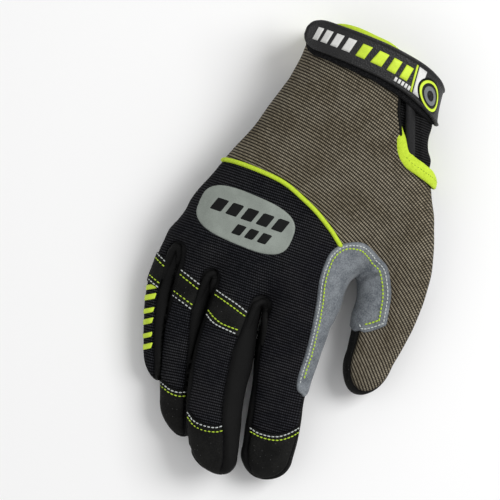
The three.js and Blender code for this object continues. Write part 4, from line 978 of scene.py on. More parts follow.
def plain_cloth(name, base, worn, grain=0.45, depth=0.12, roughness=0.8, specular=0.15, specks=0.0):
    """Smooth cloth or matt leather: fine grain, cloudy tone, painted shade near seams and, where asked, pale specks
    of lint.
    """
    f = Finish(name, roughness, specular=specular)
    fine = f.noise(grain, 3, 0.6)
    tone = (f.noise(11, 3) * 0.5 + fine * 0.5).eased(0.32, 0.7)
    lit = f.mixed(tone, base, worn)
    if specks:
        lit = f.mixed(1 - f.cells(2.2).eased(0.05, 0.13), lit, tuple(c + specks for c in worn))
    # painted shade: within 1.4 mm of a seam the colour sinks towards near black, three quarters of the way at the
    # seam itself
    f.paint(f.mixed(f.attribute("seam").eased(0, 1.4) * 0.75 + 0.25, (0.002, 0.002, 0.0025), lit))
    f.relief(fine + f.cells(grain * 1.8) * 0.6, depth)
    f.rough(tone * 0.14 + (roughness - 0.07))
    return f.material


def suede(name, base, pale, deep):
    """Synthetic suede: a soft nap of pale and deep flecks over slow clouds, darkened in its seams by painted shade.
    """
    f = Finish(name, 0.95, sheen=0.1, specular=0.15)
    nap = f.noise(0.9, 4, 0.8)
    cloud = f.noise(7, 4, 0.62)
    lit = f.mixed((cloud * 0.4 + nap * 0.6).eased(0.36, 0.64), deep, pale)
    mid = f.mixed(0.2, lit, base)
    # painted shade: within 0.9 mm of a seam the colour sinks halfway to a dark grey
    f.paint(f.mixed(f.attribute("seam").eased(0, 0.9) * 0.5 + 0.5, (0.05, 0.055, 0.062), mid))
    f.relief(nap + cloud * 1.2, 0.25)
    return f.material


def woven_tape(name, base, deep):
    """Binding tape: a plain weave across its own width and length."""
    f = Finish(name, 0.7, specular=0.3)
    u, v = (axis * (2 * np.pi / TAPE_PITCH) for axis in f.weave())
    weave = u.sine() * v.sine() * 0.5 + 0.5
    f.paint(f.mixed((weave * 0.5 + f.noise(1.2, 3) * 0.5).eased(0.2, 0.75), deep, base))
    f.relief(weave, 0.15)
    return f.material


def moulded(name, base, grain=0.7, depth=0.12, roughness=0.5, specular=0.3):
    """Moulded rubber or film with a fine pebbled face."""
    f = Finish(name, roughness, specular=specular)
    pebble = f.cells(grain)
    tone = (f.noise(8, 2) * 0.6 + f.noise(0.6, 2) * 0.4).eased(0.3, 0.7)
    f.paint(f.mixed(tone, base, tuple(c * 0.78 for c in base)))
    f.relief(pebble, depth)
    f.rough(f.noise(3, 2) * 0.15 + roughness - 0.07)
    return f.material


def hooked(name):
    """Hook tape: a dense field of short black loops."""
    f = Finish(name, 0.95, specular=0.15)
    loops = f.cells(0.55)
    f.paint(f.mixed(loops.eased(0.1, 0.6), (0.02, 0.02, 0.021), (0.003, 0.003, 0.0035)))
    f.relief(1 - loops, 0.4)
    return f.material


def thread(name, base):
    """Sewing thread with a fine twist."""
    f = Finish(name, 0.6, specular=0.3)
    f.paint(f.mixed(f.noise(0.5, 2).eased(0.3, 0.7), base, tuple(c * 0.7 for c in base)))
    f.relief(f.noise(0.25, 1), 0.08)
    return f.material


@functools.lru_cache(None)
def finish(name):
    """The material of each record slot, made once."""
    look = bpy.context.scene.glove_looks
    makers = {
        # each knit's second colour is its own yarn darkened as painted shade for the grooves between ribs
        "knit_taupe": lambda: ribbed_knit(name, look.back_rib * 1000, 0.97, look.taupe, sized((36, 32, 26)),
                                          sized((122, 113, 95)), 0.55, 0.7),
        "knit_black": lambda: ribbed_knit(name, look.knuckle_rib * 1000, 1.1, sized((52, 52, 55)),
                                          sized((1, 1, 2)), sized((39, 40, 45)), 0.45, 0.85),
        "stretch_black": lambda: plain_cloth(name, sized((8, 8, 8)), sized((17, 17, 17)), 0.5, 0.14, 0.7, 0.12),
        "leather_black": lambda: plain_cloth(name, sized((8, 8, 8)), sized((30, 30, 29)), 0.7, 0.25, 0.75, 0.1,
                                             0.06),
        "suede_grey": lambda: suede(name, look.suede, sized((140, 145, 149)), sized((76, 81, 87))),
        "leather_ivory": lambda: plain_cloth(name, sized((206, 198, 186)), sized((190, 181, 168)), 0.7, 0.15, 0.6),
        "binding_lime": lambda: woven_tape(name, look.lime, sized((165, 192, 30))),
        "gusset_knit": lambda: ribbed_knit(name, 1.3, 1.1, sized((40, 40, 41)), sized((5, 5, 5)),
                                           sized((30, 30, 31)), 0.3),
        "hook_tape": lambda: hooked(name),
        "rubber_black": lambda: moulded(name, sized((27, 27, 28)), 0.9, 0.3, 0.5, 0.35),
        "film_silver": lambda: moulded(name, sized((140, 147, 140)), 0.9, 0.05, 0.5, 0.3),
        "thread_lime": lambda: thread(name, sized((190, 222, 62))),
        "thread_white": lambda: thread(name, sized((205, 210, 208))),
        # the lime thread darkened as painted shade, for the binding's stitches that sit in shadow
        "thread_lime_shaded": lambda: thread(name, sized((128, 150, 34))),
        "roll_black": lambda: plain_cloth(name, sized((13, 13, 14)), sized((29, 29, 30)), 0.6, 0.14, 0.6, 0.2),
        "print_lime": lambda: moulded(name, look.lime, 0.9, 0.04, 0.5),
        "print_white": lambda: moulded(name, sized((228, 228, 225)), 0.9, 0.04, 0.5),
        "print_black": lambda: moulded(name, sized((10, 10, 11)), 0.9, 0.04, 0.55),
        "film_print": lambda: moulded(name, sized((14, 15, 15)), 0.9, 0.04, 0.6, 0.15),
        "print_grey": lambda: moulded(name, sized((112, 116, 118)), 0.9, 0.04, 0.5),
    }
    return makers[name]()


# Panels


RIB_CENTRE = (-63.0, -148.0)
RIB_RADIUS = 200.0


def rib_map(columns):
    """Weave coordinates of the back: its ribs are arcs round a point far beyond the fingers, so one coordinate is the
    distance from that point and the other the turn round it times a middle radius."""
    x, y = columns["x"] - RIB_CENTRE[0], columns["y"] - RIB_CENTRE[1]
    turn = np.arctan2(x, y)
    return np.column_stack([turn * RIB_RADIUS + 0.35 * columns["z"], np.hypot(x, y)])


def finger_rib_map(columns):
    """Weave coordinates of the fingers: ribs across each finger, leaning with its middle line."""
    x, y, z = columns["x"], columns["y"], columns["z"]
    owner = np.round(columns["owner"]).astype(int)
    rib = y.copy()
    for name in FINGERS:
        cx, ahead = digit_section(name, y)[0], digit_section(name, y - 1.0)[0]
        lean = 0.35 * (cx - ahead) * ease(0, 1, (-20 - y) / 25)
        rib = np.where(owner == OWNERS.index(name), y + lean * (x - cx), rib)
    return np.column_stack([x + 0.35 * z, rib])


def creases(p):
    """Soft dents in mm: slow waves in the cloth, and the fold of the web at the thumb."""
    x, y, z = p.T
    waves = 0.22 * np.sin(0.11 * x + 0.07 * y + 1.3) * np.sin(0.09 * y - 0.06 * x)
    waves += 0.12 * np.sin(0.31 * x - 0.17 * y + 0.11 * z) * np.sin(0.23 * y + 0.12 * x + 2)
    along = (x - 35.5) * 0.76 + (y - 1.5) * 0.65
    across = (y - 1.5) * 0.76 - (x - 35.5) * 0.65
    fold = ease(-2.5, 1, along) * (1 - ease(6, 11, along))
    return waves + fold * (0.7 * np.exp(-((across - 2) / 1.6) ** 2) - 1.6 * np.exp(-((across + 0.2) / 1.0) ** 2))


def placed(columns, seam_depth, lift=0.0):
    """The panel's points: on the skin, moved along its normals by its lift, the cloth's waves and the dip at seams,
    depth e^-(distance / width)^2."""
    p = np.column_stack([columns[k] for k in "xyz"])
    n = unit(np.column_stack([columns[k] for k in ("nx", "ny", "nz")]))
    dip = seam_depth * np.exp(-(columns["seam"] / SEAM_WIDTH) ** 2)
    return p + n * (creases(p) + lift - dip)[:, None], n


def panel(name, cuts, look, weave=rib_map, puff=0.0):
    """One panel of the shell, with a wall inwards; only a puffed one may be in several bodies."""
    columns, triangles = cut_panel(cuts)
    if puff == 0:
        triangles = largest_body(columns["x"], triangles)
    lift = puff * ease(0, 3.0, columns["seam"]) * ease(0.2, 0.7, columns["nz"])
    outer, n = placed(columns, SEAM_DEPTH, lift)
    inner = outer - n * WALL
    inner[:, 2] = np.maximum(inner[:, 2], PALM_FLOOR + 0.2)
    faces = thick_faces(triangles, len(outer))
    new_piece(name, np.concatenate([outer, inner]), faces, look, (name,), np.tile(weave(columns), (2, 1)),
              np.tile(columns["seam"], 2))


def overlay(name, field, look, thick, floor=-np.inf, round_edge=0.7, replaces=True, extra=0.0):
    """A patch on the skin: its edge rolls over round_edge mm in a quarter circle."""
    columns, triangles = cut_panel([field])
    base, n = placed(columns, 0.0)
    edge = np.clip(columns["seam"] / round_edge, 0, 1)
    rise = thick * np.sqrt(1 - (1 - edge) ** 2)
    top = base + n * (rise + extra)[:, None]
    top[:, 2] = np.maximum(top[:, 2], floor)
    faces = thick_faces(triangles, len(base))
    return new_piece(name, np.concatenate([top, base - n * OVERLAY_SINK]), faces, look, (name,) if replaces else (),
                     np.tile(rib_map(columns), (2, 1)), np.tile(columns["seam"] + 0.35, 2))


def skin_plan():
    """The skin's columns, and its points in plan."""
    columns = skin_columns()[0]
    return columns, np.column_stack([columns["x"], columns["y"]])


def away(columns):
    """A field that is nowhere inside."""
    return np.full(len(columns["x"]), OUTSIDE)


def owned(columns, finger, field):
    """A field kept to one finger."""
    mine = np.abs(columns["owner"] - OWNERS.index(finger)) < 0.5
    return np.where(mine, field, OUTSIDE)


class GlovePanels(bpy.types.Operator):
    """Builds the knit back, the knuckle panel, the fingertip caps and the side strips"""

    bl_idname = "glove.back_panels"
    bl_label = "Back panels"

    def execute(self, context):
        clear = [(name, -1) for name in STRIPS]
        caps = [("cap_" + name, -1) for name in CAPS]
        panel("back_panel", [("above", 1), ("knuckle", -1), ("rim", 1), *clear], "knit_taupe")
        panel("knuckle_panel", [("above", 1), ("knuckle", 1), *clear, *caps], "knit_black", finger_rib_map)
        for name in CAPS:
            panel("tip_cap_" + name, [("above", 1), ("cap_" + name, 1), *clear], "leather_black")
        for name in STRIPS:
            panel(name, [(name, 1)], "stretch_black", puff=0.9)
        return {"FINISHED"}


class GlovePalm(bpy.types.Operator):
    """Builds the leather palm and the wrist panel"""

    bl_idname = "glove.palm_panels"
    bl_label = "Palm panels"

    def execute(self, context):
        clear = [(name, -1) for name in STRIPS]
        panel("palm_panel", [("above", -1), ("wrist", -1), ("rim", 1), *clear], "leather_black")
        panel("wrist_panel", [("above", -1), ("wrist", 1), ("rim", 1)], "leather_ivory")
        return {"FINISHED"}


def fork_patch_field():
    """The fork patch: one outline on the back and one on the palm side, mixed round the flank."""
    columns, xy = skin_plan()
    near = (xy[:, 0] > 5) & (xy[:, 1] > -75) & (xy[:, 1] < 30)
    field = away(columns)
    back = inside_outline(rounded(FORK_PATCH_BACK), xy[near])
    palm = inside_outline(rounded(FORK_PATCH_PALM), xy[near])
    turn = ease(-3, 3, columns["above"][near])
    field[near] = palm + (back - palm) * turn
    return field


class GlovePatches(bpy.types.Operator):
    """Builds the suede patches of the palm, the thumb fork and the thumb's side"""

    bl_idname = "glove.patches"
    bl_label = "Suede patches"

    def execute(self, context):
        columns, xy = skin_plan()
        overlay("thumb_fork_patch", fork_patch_field(), "suede_grey", 1.3)
        low = (columns["z"] < PALM_FLOOR + 4) & (xy[:, 0] < 35)
        field = away(columns)
        field[low] = inside_outline(rounded(PALM_PATCH, 4), xy[low])
        field = np.minimum(field, PALM_FLOOR + 2.0 - columns["z"])
        overlay("palm_patch", field, "suede_grey", OVERLAY + 0.2, floor=PATCH_FLOOR)
        field = away(columns)
        low = (columns["z"] < 16) & (xy[:, 0] > 40)
        field[low] = inside_outline(rounded(THUMB_PATCH), xy[low])
        field = np.minimum(field, 9.5 - columns["z"])
        overlay("thumb_side_patch", field, "suede_grey", 1.2)
        return {"FINISHED"}


def domed_pad(outline, top, bottom):
    """A gel pad: rings drawn in from its outline to its middle. The ring at share s of the way in drops by
    sqrt(1 - (1 - s / 0.22)^2) of the pad's height, and lies flat beyond that."""
    edge = rounded(outline, 5)
    centre = edge.mean(0)
    share = np.array([0, 0.02, 0.05, 0.09, 0.15, 0.22, 0.4, 0.7])
    drop = np.clip(share / 0.22, 0, 1)
    height = top + (bottom - top) * np.sqrt(1 - (1 - drop) ** 2)
    rings = edge + (centre - edge) * share[:, None, None]
    high = np.broadcast_to(height[:, None, None], (len(share), len(edge), 1))
    points = np.concatenate([rings, high], 2).reshape(-1, 3)
    return closed_ends(points, grid_faces(len(share), len(edge), False, True), len(share), len(edge))


class GlovePads(bpy.types.Operator):
    """Builds the gel pads and the suede pads under the fingers"""

    bl_idname = "glove.pads"
    bl_label = "Pads"

    def execute(self, context):
        for name, outline in GEL_PADS.items():
            points, faces = domed_pad(outline, PAD_HEIGHT, 0.0)
            piece = new_piece(name, points, triangles_of(points, faces), "suede_grey", (name,), points[:, :2])
        for finger, ends in TIP_PADS.items():
            self.finger_pad("tip_pad_" + finger, finger, *ends, 0.12)
        for finger, ends in JOINT_PADS.items():
            self.finger_pad("joint_pad_" + finger, finger, *ends, 0.02)
        return {"FINISHED"}

    def finger_pad(self, name, finger, start, end, roundness):
        """A pad under a finger between two shares of its length, rounded at the tip like a superellipse."""
        columns, xy = skin_plan()
        x, y = xy.T
        digit = DIGITS[finger]
        length = digit["size"][0]
        at = (digit["root"][1] * PALM_LENGTH - y) / length
        cx, _, a, _ = digit_section(finger, y)
        past = np.maximum(0, at - digit["rows"][-1][0]) / digit["nose"][0]
        across = np.abs(x - cx - digit["nose"][1] * length * past) / a
        tip = end - roundness * across**2
        field = np.minimum.reduce([(at - start) * length, (tip - at) * length, (0.74 - across) * a])
        field = np.where(columns["above"] < -0.5, field, OUTSIDE)
        piece = overlay(name, owned(columns, finger, field), "suede_grey", 1.3)


class GloveBands(bpy.types.Operator):
    """Builds the leather bands across the fingers' backs"""

    bl_idname = "glove.bands"
    bl_label = "Knuckle bands"

    def execute(self, context):
        columns, xy = skin_plan()
        x, y = xy.T
        for finger, (upper, lower) in BANDS.items():
            field = np.minimum(line_at(upper, x) - y, y - line_at(lower, x))
            for strip in STRIPS:
                field = np.minimum(field, -columns[strip] + 0.15)
            field = np.minimum(field, columns["above"] - 0.3)
            overlay("knuckle_band_" + finger, owned(columns, finger, field), "leather_black", 0.75, round_edge=0.5)
        return {"FINISHED"}


def slanted_bars(start, top, bottom, width, gap, slant, count):
    """Outlines of a row of equal bars leaning by slant: four corners each, from start on."""
    for k in range(count):
        x = start + k * (width + gap)
        yield ((x, bottom), (x + width, bottom), (x + width + slant, top), (x + slant, top))


def bent(v, power):
    """sign(v) |v|^(2 / power): a circle's coordinate turned into a superellipse's."""
    return np.sign(v) * np.abs(v) ** (2 / power)


def rounded_box(centre, width, height, power, turn, count=48):
    """A superellipse outline: |x/w|^p + |y/h|^p = 1, turned by some degrees."""
    t = np.linspace(0, 2 * np.pi, count, endpoint=False)
    x, y = width / 2 * bent(np.cos(t), power), height / 2 * bent(np.sin(t), power)
    c, s = np.cos(np.radians(turn)), np.sin(np.radians(turn))
    return np.column_stack([centre[0] + x * c - y * s, centre[1] + x * s + y * c])


FILM_CENTRE = (-34.8, 10.8)


class GloveFilm(bpy.types.Operator):
    """Builds the plain reflective film with its slanted bars, and the bars on the little finger"""

    bl_idname = "glove.film"
    bl_label = "Reflective film"

    def execute(self, context):
        columns, xy = skin_plan()
        aside, ahead = np.abs(xy - FILM_CENTRE).T
        near = (columns["z"] > 20) & (aside < 34) & (ahead < 22)
        field = away(columns)
        field[near] = inside_outline(rounded_box(FILM_CENTRE, 54, 28, 3.0, -4), xy[near])
        overlay("reflective_patch", field, "film_silver", 0.3, round_edge=0.3)
        bars = [*slanted_bars(-55, 17.5, 10.5, 6.2, 2.4, 2.6, 5), *slanted_bars(-40, 7.4, 1.6, 5.0, 2.2, 2.2, 3)]
        marks = away(columns)
        for bar in bars:
            marks[near] = np.maximum(marks[near], inside_outline(bar, xy[near]))
        overlay("film_bars", marks, "film_print", 0.12, round_edge=0.15, replaces=False, extra=0.3)
        flank = away(columns)
        near = (xy[:, 0] < -54) & (np.abs(xy[:, 1] + 56) < 26) & (columns["above"] > -1)
        for y, height in ((-38, 3.0), (-43.5, 3.4), (-51, 3.0), (-56.5, 3.4), (-64, 3.0), (-69.5, 3.4)):
            cx, _, a, _ = digit_section("little", np.array([float(y)]))
            left, right = float(cx[0] - 1.02 * a[0]), float(cx[0] - 0.32 * a[0])
            bar = ((left, y - 2), (right, y + 1.5), (right, y + 1.5 - height), (left, y - 2 - height))
            flank[near] = np.maximum(flank[near], inside_outline(bar, xy[near]))
        overlay("finger_bars", owned(columns, "little", flank), "print_lime", 0.25, round_edge=0.25, replaces=False)
        return {"FINISHED"}


class GloveEdges(bpy.types.Operator):
    """Builds the piping, the cuff's binding and the rolled edges at the finger forks"""

    bl_idname = "glove.edges"
    bl_label = "Piping, binding and rolls"

    def execute(self, context):
        self.piping()
        self.binding()
        for name, line in FORK_ROLLS.items():
            self.roll(name, line)
        return {"FINISHED"}

    def piping(self):
        """A round cord across the back and down the little-finger side."""
        over = on_skin(dropped(rounded(PIPING_LINE, 8, False)))
        turn = np.linspace(160, 188, 14)
        side = to_skin(wrist_point(over[0, 1] + 0 * turn, turn, 0.0))
        side = side[side[:, 2] < over[0, 2] - 0.8]
        path = np.vstack([side[::-1], over])
        cord_piece("piping", path, skin_normal(path), 0.25, oval(2.5, 2.3, 14), 0.55, "binding_lime", ("piping",))

    def binding(self):
        """The binding round the cut edge: a flat oval carried round the rim, broadest where the slit turns."""
        t = np.linspace(RIM_ROWS[0, 0], RIM_ROWS[0, 0] + 360, 400, endpoint=False)
        y = smooth(RIM_ROWS, 1, t) * PALM_LENGTH
        path = to_skin(wrist_point(y, t, 0.0))
        n = skin_normal(path)
        hidden = ease(56, 59, t) * (1 - ease(64, 71, t))
        slit = ease(-20, 0, t) * (1 - ease(53, 57, t))
        flare = ease(-20, 0, t) * (1 - ease(34, 50, t))
        path = path - n * (0.7 + 3.2 * hidden - 2.0 * flare)[:, None] + np.array([0, 1.1, 0]) * slit[:, None]
        sides = 20
        wide, high = 1 + 0.5 * slit - 0.5 * hidden, 1 - 0.5 * hidden
        points, faces = swept(path, n, oval(5.2, 3.1, sides), True, wide, high)
        new_piece("cuff_binding", points, faces, "binding_lime", ("cuff_binding",), sweep_map(path, sides, 0.7))
        sewn = (t > -16) & (t < 51.5)
        # the binding's stitches use the lime thread darkened as painted shade
        sew("binding_thread", [(path[sewn] + n[sewn] * 1.5, n[sewn])], "thread_lime_shaded", 2.0, 1.5, 0.5, 0.0)
        # A dark hem along the slit's knit edge: it hides the ragged cut and also stands in for the shadow beside that
        # edge, painted shade made as a piece.
        t = np.linspace(52.5, 70, 60)
        path = to_skin(wrist_point(smooth(RIM_ROWS, 1, t) * PALM_LENGTH, t, 0.0))
        cord_piece("slit_hem_and_shadow", path, skin_normal(path), -0.5, oval(1.9, 1.9, 10), 0.9, "stretch_black")

    def roll(self, name, line):
        """A rolled edge: a round bead whose two ends sink into the cloth."""
        path = dropped(rounded(line, 8, False))
        n = unit(skin_normal(path) + np.array([0, 0, 1.5]))
        t = np.linspace(0, 1, len(path))
        ends = ease(0, 0.3, t) * (1 - ease(0.7, 1, t))
        cord_piece("fork_roll_" + name, path, n, 0.45 - 2.4 * (1 - ends), oval(4.3, 4.3, 14), 0.9, "stretch_black")


def wrist_point(y, angle, grow):
    """A point round the wrist's section at an angle in degrees, grow mm outside it."""
    x, z, a, b = palm_section(y)
    c, s = np.cos(np.radians(angle)), np.sin(np.radians(angle))
    n = np.where(s < 0, PALM_BASE_POWER, TOP_POWER)
    return np.stack([x + (a + grow) * bent(c, n), y + 0 * x, z + (b + grow) * bent(s, n)], -1)


# The gusset's half width at shares of the palm's length, as a share of the palm's width
GUSSET_ROWS = np.array([
    (0.38, 0.5), (0.42, 0.5), (0.45, 0.508), (0.48, 0.5), (0.51, 0.47), (0.55, 0.45), (0.6, 0.445),
    (0.66, 0.395), (0.72, 0.385),
])

# The gusset's rolled edge in plan, and its soft fold: middle line, height and half width
GUSSET_ROLL = ((39.4, 67), (37.4, 72.5), (33.4, 84), (29.2, 96), (24.5, 110))
GUSSET_FOLD = (((47, 60), (43.8, 72.5), (40, 84), (36.4, 96), (32, 110)), 1.0, 1.4)


class GloveGusset(bpy.types.Operator):
    """Builds the stretch sleeve that bridges the cuff's slit: round its section's arc, with a fold whose height is
    h sqrt(1 - (d / w)^2) at a distance d from its middle line, and a rolled edge beside it"""

    bl_idname = "glove.gusset"
    bl_label = "Slit gusset"

    def execute(self, context):
        rows, columns = 110, 160
        share = np.linspace(0.38, 0.72, rows)[:, None]
        turn = np.linspace(-64, 66, columns)[None, :]
        y = share * PALM_LENGTH + 0 * turn
        turn = turn + 0 * y
        x, z, a, b = palm_section(y)
        a = smooth(GUSSET_ROWS, 1, share) * PALM_WIDTH - x
        b = b - 2.6
        c, s = np.cos(np.radians(turn)), np.sin(np.radians(turn))
        n = np.where(s < 0, PALM_BASE_POWER, TOP_POWER)

        def sheet(grow):
            return np.stack([x + (a + grow) * bent(c, n), y, z + (b + grow) * bent(s, n)], -1)

        place = sheet(0.0)[..., 0]
        above = ease(-0.1, 0.3, s) * ease(66, 73, y)
        line, high, wide = GUSSET_FOLD
        middle = np.interp(y, [v[1] for v in line], [v[0] for v in line])
        folds = above * high * np.sqrt(np.clip(1 - ((place - middle) / wide) ** 2, 0, 1))
        folds += 0.35 * np.sin(share * 70 + turn * 0.06) * above
        points, faces = slab(sheet(folds), sheet(folds * 0.6 - 1.2))
        faces = outward(points, faces)
        uv = np.tile(np.column_stack([(turn * 0.6).ravel(), y.ravel()]), (2, 1))
        new_piece("slit_gusset", points, faces, "gusset_knit", ("slit_gusset",), uv)
        line = rounded(GUSSET_ROLL, 10, False)
        x, z, _, b = palm_section(line[:, 1])
        a = smooth(GUSSET_ROWS, 1, line[:, 1] / PALM_LENGTH) * PALM_WIDTH - x
        high = (b - 2.6) * (1 - np.clip((line[:, 0] - x) / a, 0, 0.98) ** TOP_POWER) ** (1 / TOP_POWER)
        path = np.column_stack([line, z + high - 0.8 + 2.0 * ease(68, 80, line[:, 1])])
        normals = unit(np.column_stack([(line[:, 0] - x) / a, 0 * x, high / b]))
        cord_piece("gusset_roll", path, normals, 0.0, oval(6.6, 3.8, 16), 0.9, "roll_black")
        return {"FINISHED"}


STRAP_WIDTH = 19.0
TAB_ANGLES = (-12.0, 162.0)
TAPE_ANGLES = (-40.0, 164.0)
TAPE_LIFT, TAPE_THICK = 1.1, 1.7
TAB_LIFT, TAB_THICK = 3.4, 1.9
RIM_HEIGHT = 0.7

# Rows of bars on the tab: look, first angle, pitch, count, width and lean in degrees, low and high edge, height
STRAP_BARS = (
    ("white", 145, 10.5, 4, 6.6, 2.8, -0.38, 0.46, 0.55),
    ("lime", 102, 10.5, 4, 6.6, 2.8, -0.40, 0.44, 0.55),
    ("white", 74, 3.1, 5, 2.1, 0.7, -0.76, -0.5, 0.4),
)


def strap_surface(angle, across, lift):
    """A point of the strap: angle round the wrist, across its width from -1 to 1, and lift above the cuff."""
    y = smooth(STRAP_ROWS, 1, angle) * PALM_LENGTH
    half = smooth(STRAP_ROWS, 2, angle) * STRAP_WIDTH / 2
    return wrist_point(y + across * half, angle, lift)


def strap_plate(name, angles, rounding, spread, lift, thick, look, rim=0.0, shift=0.0, narrow=0.0,
                columns=300, rows=44):
    """A plate round the wrist whose far end rounds off as a half circle does, width sqrt(1 - t^2); its long edges are
    rounded, and a raised rim may run round it."""
    angle = np.linspace(angles[0], angles[1], columns)[:, None]
    v = np.linspace(-1, 1, rows)[None, :]
    left = np.clip((angles[1] - angle) / rounding, 0.0, 1)
    width = np.sqrt(np.clip(1 - (1 - left) ** 2, 0.0004, 1)) * spread * (1 - narrow * (1 - ease(5, 50, angle)))
    across = v * width + shift
    half = STRAP_WIDTH / 2
    to_edge = (1 - np.abs(v)) * width * half
    to_end = np.minimum((angles[1] - angle), 200) * 0.75
    edge = np.minimum(to_edge, np.maximum(to_end, 0))
    round_over = np.sqrt(1 - (1 - np.clip(edge / 0.8, 0, 1)) ** 2)
    height = thick * (0.45 + 0.55 * round_over)
    height = height - rim * ease(1.3, 2.0, edge)
    outer = strap_surface(angle + 0 * v, across, lift + height)
    inner = strap_surface(angle + 0 * v, across, lift + 0 * height)
    points, faces = slab(outer, inner)
    faces = outward(points, faces)
    uv = np.tile(np.column_stack([(angle * 0.65 + 0 * v).ravel(), (across * half).ravel()]), (2, 1))
    return new_piece(name, points, faces, look, (name,), uv)


def strap_mark(outline, lift, thick, count=10):
    """A raised mark on the strap: a four-cornered outline in (angle, across), as a grid between its corners."""
    a, b, c, d = (np.array(v, float) for v in outline)
    s = np.linspace(0, 1, count)[:, None, None]
    t = np.linspace(0, 1, 6)[None, :, None]
    flat = (a * (1 - s) + b * s) * (1 - t) + (d * (1 - s) + c * s) * t
    rounding = np.minimum(np.minimum(s, 1 - s) * count, np.minimum(t, 1 - t) * 6)[..., 0]
    height = thick * (0.5 + 0.5 * np.clip(rounding, 0, 1))
    outer = strap_surface(flat[..., 0], flat[..., 1], lift + height)
    inner = strap_surface(flat[..., 0], flat[..., 1], lift - 0.1 + 0 * height)
    return slab(outer, inner)


def joined(parts):
    """Several meshes as one."""
    points, faces, count = [], [], 0
    for p, f in parts:
        points.append(p)
        faces.append(f + count)
        count += len(p)
    return np.concatenate(points), np.concatenate(faces)


def strap_disc(angle, across, radius_angle, radius_across, lift, thick, inner=0.0, count=40, rings=5):
    """A raised ring or disc on the strap's face, in polar steps round its centre."""
    t = np.linspace(0, 2 * np.pi, count, endpoint=False)[None, :]
    r = np.linspace(max(inner, 0.02), 1, rings)[:, None]
    a = angle + radius_angle * r * np.cos(t)
    v = across + radius_across * r * np.sin(t)
    outer = strap_surface(a, v, lift + thick + 0 * a)
    base = strap_surface(a, v, lift + 0 * a)
    index = np.arange(rings * count).reshape(rings, count)
    top = grid_faces(rings, count, False, True)
    n = rings * count
    walls = []
    for row, turn in ((0, -1), (rings - 1, 1)):
        ring = index[row]
        after = np.roll(ring, -1)
        wall = np.stack([ring, after, after + n, ring + n], 1)
        walls.append(wall[:, ::turn])
    points = np.concatenate([outer.reshape(-1, 3), base.reshape(-1, 3)])
    faces = np.concatenate([top[:, ::-1], top + n, *walls])
    return points, faces


class GloveStrap(bpy.types.Operator):
    """Builds the hook tape, the rubber tab with its rim and plain raised bars, and the round badge"""

    bl_idname = "glove.strap"
    bl_label = "Wrist strap"

    def execute(self, context):
        strap_plate("strap_tape", TAPE_ANGLES, 28, 1.16, TAPE_LIFT, TAPE_THICK, "hook_tape", shift=-0.17,
                    narrow=0.3)
        strap_plate("strap_tab", TAB_ANGLES, 30, 1.0, TAB_LIFT, TAB_THICK, "rubber_black", rim=RIM_HEIGHT)
        face = TAB_LIFT + TAB_THICK - RIM_HEIGHT
        marks = {"white": [], "lime": []}
        for shade, first, pitch, count, width, lean, low, high, thick in STRAP_BARS:
            for k in range(count):
                start = first - k * pitch
                bar = ((start, low), (start - width, low), (start - width - lean, high), (start - lean, high))
                marks[shade].append(strap_mark(bar, face, thick))
        marks["lime"].append(strap_mark(((58.5, -0.74), (56.8, -0.74), (57.6, 0.74), (59.3, 0.74)), face, 0.4, 4))
        marks["white"].append(strap_mark(((55.5, -0.72), (48.5, -0.72), (47.5, 0.72), (56.2, 0.72)), face, 0.3, 8))
        for shade, parts in marks.items():
            points, faces = joined(parts)
            new_piece("strap_bars_" + shade, points, outward(points, faces), "print_" + shade, (), points[:, :2])
        rings = (("badge_plate", 0.0, 1.0, 0.35, "print_black"), ("badge_ring_lime", 0.72, 0.88, 0.6, "print_lime"),
                 ("badge_ring_grey", 0.3, 0.55, 0.55, "print_grey"))
        for name, inner, outer, thick, look in rings:
            points, faces = strap_disc(36, -0.17, 17.0 * outer, 0.78 * outer, face, thick, inner / outer)
            replaced = ("strap_badge",) if name == "badge_plate" else ()
            new_piece(name, points, outward(points, faces), look, replaced, points[:, :2])
        return {"FINISHED"}


def inset(outline, distance):
    """A closed outline moved inwards by a distance along its own normals; the distance may differ point by point."""
    p = rounded(outline, 8)
    along = unit(np.roll(p, -1, 0) - np.roll(p, 1, 0))
    normal = np.column_stack([-along[:, 1], along[:, 0]])
    area = np.sum(p[:, 0] * np.roll(p[:, 1], -1) - np.roll(p[:, 0], -1) * p[:, 1])
    return p + normal * np.reshape(distance, (-1, 1)) * np.sign(area)


def runs(line, keep, shortest=6):
    """The unbroken stretches of a line whose points are kept."""
    ends = np.flatnonzero(np.diff(np.concatenate([[0], keep.astype(int), [0]])))
    return [line[a:b] for a, b in zip(ends[::2], ends[1::2]) if b - a >= shortest]


def row_under(line, lift):
    """Rows of stitches under the palm: a plan line raised to the skin from below, where the palm lies flat."""
    p = dropped(line, True)
    flat = (np.abs(glove_field(p)) < 0.1) & (p[:, 2] < PALM_FLOOR + 1.0)
    return [(part - np.array([0, 0, lift]), np.tile([0.0, 0.0, -1.0], (len(part), 1))) for part in runs(p, flat)]


def row_on_skin(line, lift, from_below=False):
    """A row of stitches: a plan line on the skin, lifted off it."""
    p = on_skin(dropped(line, from_below))
    n = skin_normal(p)
    return p + n * lift, n


